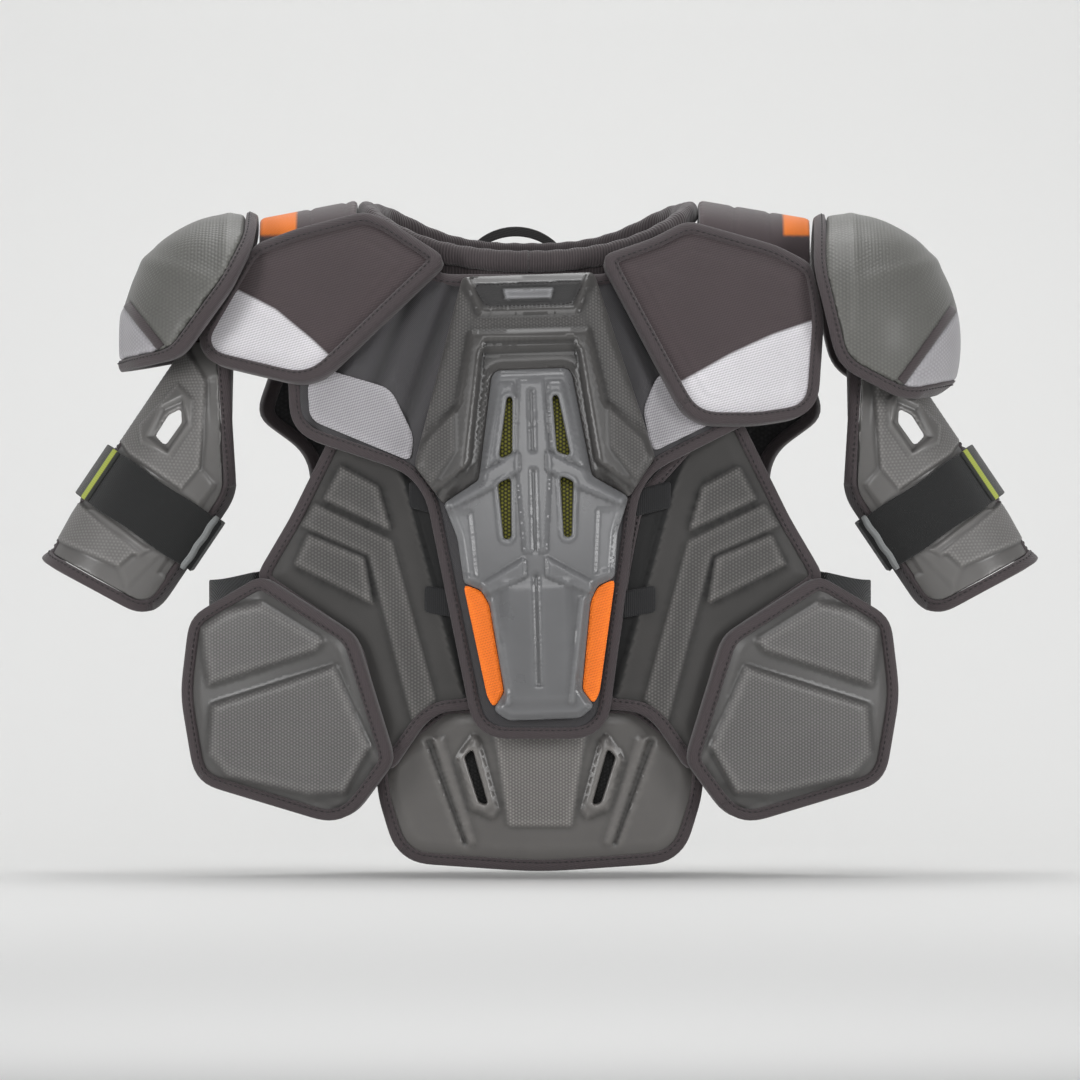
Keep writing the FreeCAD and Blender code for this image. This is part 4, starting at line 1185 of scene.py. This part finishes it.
def dome_tape(name, node, centre, body, thick):
    """A bound rim on a moulded shell: found on its plain ring, and stood on the surface it lies on."""
    centre = np.array(centre)

    def outwards(middles):
        way = middles - centre
        return way / np.linalg.norm(way, axis=1)[:, None]

    rim, inside = edge_band(node, outwards, 3.6 * mm, 2)
    places, triangles = mesh_arrays(node)
    tree = BVHTree.FromPolygons([Vector(p) for p in places], [tuple(int(i) for i in t) for t in triangles])
    normals = []
    for a, b in zip(rim, inside):
        spot = a * 0.45 + b * 0.55
        _, normal, _, _ = tree.find_nearest(Vector(spot + outwards(spot[None])[0] * 6 * mm))
        normals.append(tuple(normal))
    normals = np.array(normals)
    for _ in range(4):
        normals = normals * 0.5 + 0.25 * (np.roll(normals, 1, 0) + np.roll(normals, -1, 0))
    normals /= np.linalg.norm(normals, axis=1)[:, None]
    return tape(name, rim, inside, normals, thick, body, node)


for side, sign in (("left", 1), ("right", -1)):
    centre = cap_middle * np.array([sign, 1, 1])

    def cap_shape(places, ways):
        """Soft facets on the dome and a ditch beside the sewn strip."""
        out = places - centre
        outer_face = ramp((out * ways).sum(1), 0, 20 * mm)
        x, y, z = out[:, 0] * sign / mm, out[:, 1] / mm, out[:, 2] / mm
        ridge = np.exp(-((z - 36 - 0.30 * x) / 5.5) ** 2) * ramp(x, -4, 22)
        flat_top = ramp(z, 62, 78) * -1.4
        brow = np.exp(-((x - 2) / 4.0) ** 2) * ramp(z, -10, 20)
        strip = line_distance(places, strip_lines[side]) / mm
        front = ramp(-y, 0, 12)
        ditch = np.exp(-(strip / 1.3) ** 2) + np.exp(-((strip - 6) / 1.3) ** 2)
        return (1.3 * ridge + flat_top + 0.9 * brow - 0.9 * ditch * front + 0.5) * outer_face * mm

    cap = remade(f"{side}_cap_dome", [f"{side}_shoulder_cap"], cap_skin, 9, cap_shape)
    spots = places_of(cap)
    beyond_strip = line_distance(spots, strip_lines[side])
    mark(cap, "white", ramp(beyond_strip, 5 * mm, 6.4 * mm) * ramp(-spots[:, 1], -4 * mm, -2 * mm))
    finished(cap, cap_cloth, f"{side}_cap")
    dome_tape(f"{side}_cap_tape", f"{side}_shoulder_cap_binding", centre, f"{side}_cap", 8 * mm)

    # The sewn strip: a narrow tape laid on the dome between the grey fabric and the white mesh.
    (ax, az), (bx, bz) = np.array(strip_lines[side]) * mm
    dome = BVHTree.FromObject(cap, bpy.context.evaluated_depsgraph_get())
    step_along = np.array([bx - ax, 0, bz - az])
    strip_way = np.array([step_along[2], 0, -step_along[0]])
    strip_way /= np.linalg.norm(strip_way)
    if strip_way[0] * sign < 0:
        strip_way = -strip_way
    spots_on, faces_on = [], []
    widths = [0.0, 0.7, 2.2, 3.8, 5.3, 6.0]
    rows_on = 0
    for t in np.linspace(-0.18, 1.16, 60):
        line = []
        for w in widths:
            start_at = np.array([ax, 0, az]) + step_along * t + strip_way * w * mm
            hit, normal, _, _ = dome.ray_cast(Vector((start_at[0], -0.2, start_at[2])), Vector((0, 1, 0)))
            if hit is None or hit.y > 0:
                line = []
                break
            rise = (0.9 if 0.5 < w < 5.5 else -0.4) * mm
            line.append(np.array(hit) + np.array(normal) * rise)
        if line:
            spots_on.extend(line)
            if rows_on:
                first = len(spots_on) - 2 * len(widths)
                for k in range(len(widths) - 1):
                    faces_on.append((first + k, first + k + 1, first + k + 1 + len(widths), first + k + len(widths)))
            rows_on += 1
    if rows_on > 3:
        strip_piece = object_from(f"{side}_cap_strip", spots_on, faces_on)
        solid = strip_piece.modifiers.new("thick", "SOLIDIFY")
        solid.thickness = 0.8 * mm
        solid.offset = -1
        strip_places = places_of(strip_piece)
        mark(strip_piece, "cut", strip_places)
        mark(strip_piece, "sides", np.tile([0.0, 1.0, 0.0], (len(strip_places), 1)))
        finished(strip_piece, cap_strip, f"{side}_cap")

    lining = remade(f"{side}_cap_lining", [f"{side}_shoulder_cap_lining"], 1.0 * mm, 2)
    finished(lining, cap_inside, f"{side}_cap")


# ---- Arm guards -------------------------------------------------------------------------------------------
# A curved guard of moulded grey foam on each upper arm, hung inside the cap. Its face has a grained field
# round a framed slot, a smooth channel along the inner side, and a grained block below the strap.
arm_colour = (0.180, 0.174, 0.168)
arm_skin = 1.15 * mm
arm_lean = math.radians(34)
axis_inset = 25 * mm        # the arm's axis lies this far inwards from the middle of the cap
arm_grain = textile("grained_arm_foam", arm_colour, "dots", 2.1 * mm, 0.32 * mm, 0.55, 0.1, 0.45, 0.15, coat=0.12,
                    source="box", grain="grain", plain_rough=0.33, painted_light_strength=0.8)
# Corners below are (outwards from the arm axis is minus, down the arm), in mm.
upper_zone = [(-60, 14), (-24, 30), (-10, 54), (4, 79), (2, 97), (-39, 97), (-60, 90)]
slot_frame = [(-37, 42), (-23, 45), (-14, 60), (-15, 84), (-35, 87), (-42, 78)]
slot_bowl = [(-29, 48), (-18, 59), (-18, 82), (-33, 81), (-36, 60)]
step_facet = [(2, 97), (4, 79), (19, 82), (17, 100)]
inner_channel = [(-16, 20), (12, 46), (31, 80), (31, 150), (20, 150), (19, 84), (5, 79), (-8, 52), (-24, 30)]
lower_zone = [(-60, 138), (-40, 143), (1, 147), (-1, 150), (-4, 161), (-60, 172)]
lower_facet = [(-4, 161), (2, 147), (14, 139), (8, 169)]
chevron_ridge = [(-41, 142), (-37, 139), (7, 141), (3, 148)]


def arm_axes(sign):
    """Where the arm's axis starts, the way down the arm and the way inwards from it, towards the trunk."""
    down = np.array([sign * math.sin(arm_lean), 0, -math.cos(arm_lean)])
    inwards = np.array([-sign * math.cos(arm_lean), 0, -math.sin(arm_lean)])
    return cap_middle * np.array([sign, 1, 1]) + inwards * axis_inset, down, inwards


def along_arm(places, sign):
    """Places as (inwards from the arm axis, down the arm, towards the back), in metres."""
    start, down, inwards = arm_axes(sign)
    out = places - start
    return np.column_stack([out @ inwards, out @ down, out[:, 1]])


for side, sign in (("left", 1), ("right", -1)):
    axis_start, arm_down, arm_inwards = arm_axes(sign)

    def arm_shape(places, ways):
        """Moulded fields, the frame round the slot and the channel, on the outside face only."""
        local = along_arm(places, sign)
        outside = ramp(local[:, 0] * (ways @ arm_inwards) + local[:, 2] * ways[:, 1], 0, 20 * mm)
        flat = local[:, :2]
        height = raised(flat, [(upper_zone, 2.4, 3.0), (lower_zone, 2.4, 3.0), (inner_channel, -1.0, 4.0),
                               (slot_frame, 1.4, 2.4), (slot_bowl, -2.6, 3.0), (chevron_ridge, 1.6, 2.4),
                               (step_facet, 0.8, 5.0), (lower_facet, 0.8, 5.0)])
        return (height - 0.4 * mm) * outside

    guard = remade(f"{side}_arm_block", [f"{side}_arm_guard"], arm_skin, 2, arm_shape)
    local = along_arm(places_of(guard), sign)
    mark(guard, "grain", within(local[:, :2], [upper_zone, lower_zone]) *
         (1 - within(local[:, :2], [slot_frame])))
    angle = np.arctan2(local[:, 0], -local[:, 2])
    mark(guard, "cut", np.column_stack([angle * 50 * mm, local[:, 1], local[:, 1]]))
    mark(guard, "sides", np.tile([0.0, 1.0, 0.0], (len(local), 1)))
    finished(guard, arm_grain, f"{side}_arm")

    def off_axis(middles):
        out = middles - axis_start
        out = out - (out @ arm_down)[:, None] * arm_down
        return out / np.linalg.norm(out, axis=1)[:, None]

    node = f"{side}_arm_guard_binding"
    rim, inside = edge_band(node, off_axis, 3.4 * mm, 2)
    normals = off_axis((rim + inside) / 2)
    tape(f"{side}_arm_tape", rim, inside, normals, 8 * mm, f"{side}_arm", node)


# ---- Arm straps and pull tabs -----------------------------------------------------------------------------
# A wide knitted elastic band holds each guard to the arm: woven black, with a rolled fold at its outer end, a
# grey hem at its inner end, and a hook-and-loop pull tab with a yellow-green stripe.
strap_colour = (0.010, 0.0105, 0.0105)
strap_from, strap_long = 100 * mm, 38 * mm
elastic_weave = textile("arm_elastic", strap_colour, "twill", 1.3 * mm, 0.18 * mm, 0.85, 0.25, 0.5, source="box")
hem_cloth = textile("strap_hem", (0.30, 0.31, 0.31), "twill", 1.0 * mm, 0.15 * mm, 0.7, 0.15, 0.3, source="box")
tab_cloth = textile("pull_tab_cloth", (0.030, 0.031, 0.028), "twill", 1.2 * mm, 0.2 * mm, 0.8, 0.2, 0.4,
                    source="box", second=(0.40, 0.46, 0.05), second_mask="stripe")
for side, sign in (("left", 1), ("right", -1)):
    band = remade(f"{side}_arm_band", [f"{side}_arm_strap"], 0.85 * mm, 2)
    local = along_arm(places_of(band), sign)
    angle = np.arctan2(local[:, 0], -local[:, 2])
    mark(band, "cut", np.column_stack([angle * 52 * mm, local[:, 1], local[:, 1]]))
    mark(band, "sides", np.tile([0.0, 1.0, 0.0], (len(local), 1)))
    slack = 0.5 * mm * np.sin(angle * 6 + local[:, 1] * 90) * ramp(-local[:, 2], 0, 20 * mm)
    start, down, inwards = arm_axes(sign)
    put(band, places_of(band) + slack[:, None] * down)
    finished(band, elastic_weave, f"{side}_arm")

    # The fold and the hem are short rolls of cloth across the band, each a rounded section swept down the arm.
    for name, angle_at, wide, tall, stuff, where in (
            ("outer_fold", -64, 8.5, 3.2, cap_strip, "elastic_black"),
            ("inner_hem", 36, 5.5, 1.7, hem_cloth, "webbing")):
        turn = math.radians(angle_at)
        radius = 52.6 * mm
        spot = inwards * math.sin(turn) * radius + np.array([0, -math.cos(turn) * radius, 0])
        out_way = spot / np.linalg.norm(spot)
        side_way = np.cross(down, out_way)
        rows, faces = [], []
        steps, corners = 26, 14
        for i in range(steps + 1):
            t = i / steps
            taper = 1 - 0.75 * (abs(2 * t - 1) ** 8)
            wobble = 0.35 * mm * math.sin(t * 17 + angle_at)
            middle = start + down * (strap_from + (strap_long + 3 * mm) * t - 1.5 * mm) + spot + side_way * wobble
            for k in range(corners):
                a = 2 * math.pi * k / corners
                squarish = 0.82 + 0.18 * math.cos(4 * a)
                rows.append(middle + side_way * math.cos(a) * wide / 2 * mm * squarish * taper ** 0.3 +
                            out_way * (math.sin(a) * tall / 2 * taper + 0.25 * tall) * mm * squarish)
            if i:
                for k in range(corners):
                    m = (k + 1) % corners
                    b = (i - 1) * corners
                    faces.append((b + k, b + m, b + m + corners, b + k + corners))
        faces.append(tuple(range(corners)))
        faces.append(tuple(range(steps * corners, (steps + 1) * corners))[::-1])
        roll = object_from(f"{side}_strap_{name}", rows, faces)
        mark(roll, "cut", places_of(roll))
        mark(roll, "sides", np.tile([0.0, 1.0, 0.0], (len(rows), 1)))
        finished(roll, stuff, f"{side}_arm")

    tab = remade(f"{side}_pull_tab", [f"{side}_strap_tab"], 0.7 * mm, 2)
    local = along_arm(places_of(tab), sign)
    turn_at = np.degrees(np.arctan2(local[:, 0], -local[:, 2]))
    front_edge = turn_at.max()
    from_edge = (front_edge - turn_at) * math.radians(1) * 54
    mark(tab, "stripe", ramp(from_edge, 1.6, 2.2) * ramp(-from_edge, -8.4, -7.8))
    finished(tab, tab_cloth, f"{side}_strap_end")


# ---- Back panel -------------------------------------------------------------------------------------------
# The hinged back: a bound foam panel under black spacer mesh, with a ribbed spine block, two shoulder-blade pads
# and two small rib pads sewn on. Only its edge shows from the front, so its face follows common practice.
mesh_black = textile("black_spacer_mesh", (0.026, 0.026, 0.027), "dots", 2.6 * mm, 0.4 * mm, 0.8, 0.25, 0.6)
quilt_lines = [([(x - 0.8, -300), (x + 0.8, -300), (x + 0.8, -40), (x - 0.8, -40)], -1.2, 2.4)
               for x in (-152, -104, 104, 152)]
back_pad, edge = bound_pad("back_pad", "back_panel", 3.2 * mm, quilt_lines, way=1, crown=1.6)
finished(back_pad, mesh_black, "back")
tape("back_tape", *edge, "back", "back_panel_binding")
spine_grooves = [([(-40, z - 1.2), (40, z - 1.2), (40, z + 1.2), (-40, z + 1.2)], -3.2, 4.0)
                 for z in range(-262, -60, 38)]
spine_ridges = [([(-13, z - 30), (13, z - 30), (17, z - 6), (-17, z - 6)], 2.0, 3.0) for z in range(-224, -60, 38)]
spine_field = [[(-20, z - 32), (20, z - 32), (24, z - 5), (-24, z - 5)] for z in range(-262, -60, 38)]
spine_block = moulded("spine_block", "spine_guard", 2.4 * mm, 2.0 * mm, spine_grooves + spine_ridges, spine_field,
                      "back", grained_foam, crown=3.0, crown_width=9, way=1)
blade_fields = [[(62, -62), (128, -66), (142, -100), (60, -100)], [(60, -106), (140, -106), (118, -134), (62, -132)]]
low_fields = [[(60, -172), (122, -176), (112, -232), (60, -228)]]
for side, sign in (("left", 1), ("right", -1)):
    for name, node, fields in (("blade_pad", "scapula_pad", blade_fields),
                               ("low_rib_pad", "back_rib_pad", low_fields)):
        pad = moulded(f"{side}_{name}", f"{side}_{node}", 2.4 * mm, 2.2 * mm, [(f, 1.8, 4.0) for f in fields], fields,
                      "back", rib_suede, crown=3.0, crown_width=9, way=1, side=sign)

# The kidney guard: a moulded block with a bound edge that covers the foot of the back panel and lifts off it.
kidney_fields = [[(-118, -272), (-42, -266), (-42, -352), (-98, -354)],
                 [(118, -272), (42, -266), (42, -352), (98, -354)],
                 [(-34, -266), (34, -266), (30, -358), (-30, -358)]]
kidney, edge = bound_pad("kidney_block", "kidney_guard", 2.4 * mm, [(f, 2.2, 6.0) for f in kidney_fields],
                         kidney_fields, way=1, crown=2.2)
finished(kidney, grained_foam, "kidney_wing")
tape("kidney_tape", *edge, "kidney_wing", "kidney_guard_binding")

# Torso straps: wide ribbed elastic from the back panel round to the rib panels.
rib_elastic = textile("ribbed_torso_elastic", (0.024, 0.025, 0.026), "ribs", 3.0 * mm, 0.5 * mm, 0.8, 0.2, 0.6,
                      source="box")
for side in ("left", "right"):
    band = remade(f"{side}_torso_band", [f"{side}_torso_strap"], 0.9 * mm, 2)
    spots = places_of(band)
    neck_in = 1 - 0.30 * ramp(np.abs(spots[:, 0]), 0.168, 0.215)
    spots[:, 2] = spots[:, 2].mean() + (spots[:, 2] - spots[:, 2].mean()) * neck_in
    put(band, spots)
    mark(band, "cut", np.column_stack([spots[:, 2] / neck_in, spots[:, 1], spots[:, 0]]))
    mark(band, "sides", np.tile([0.0, 0.0, 1.0], (len(spots), 1)))
    finished(band, rib_elastic, "back")
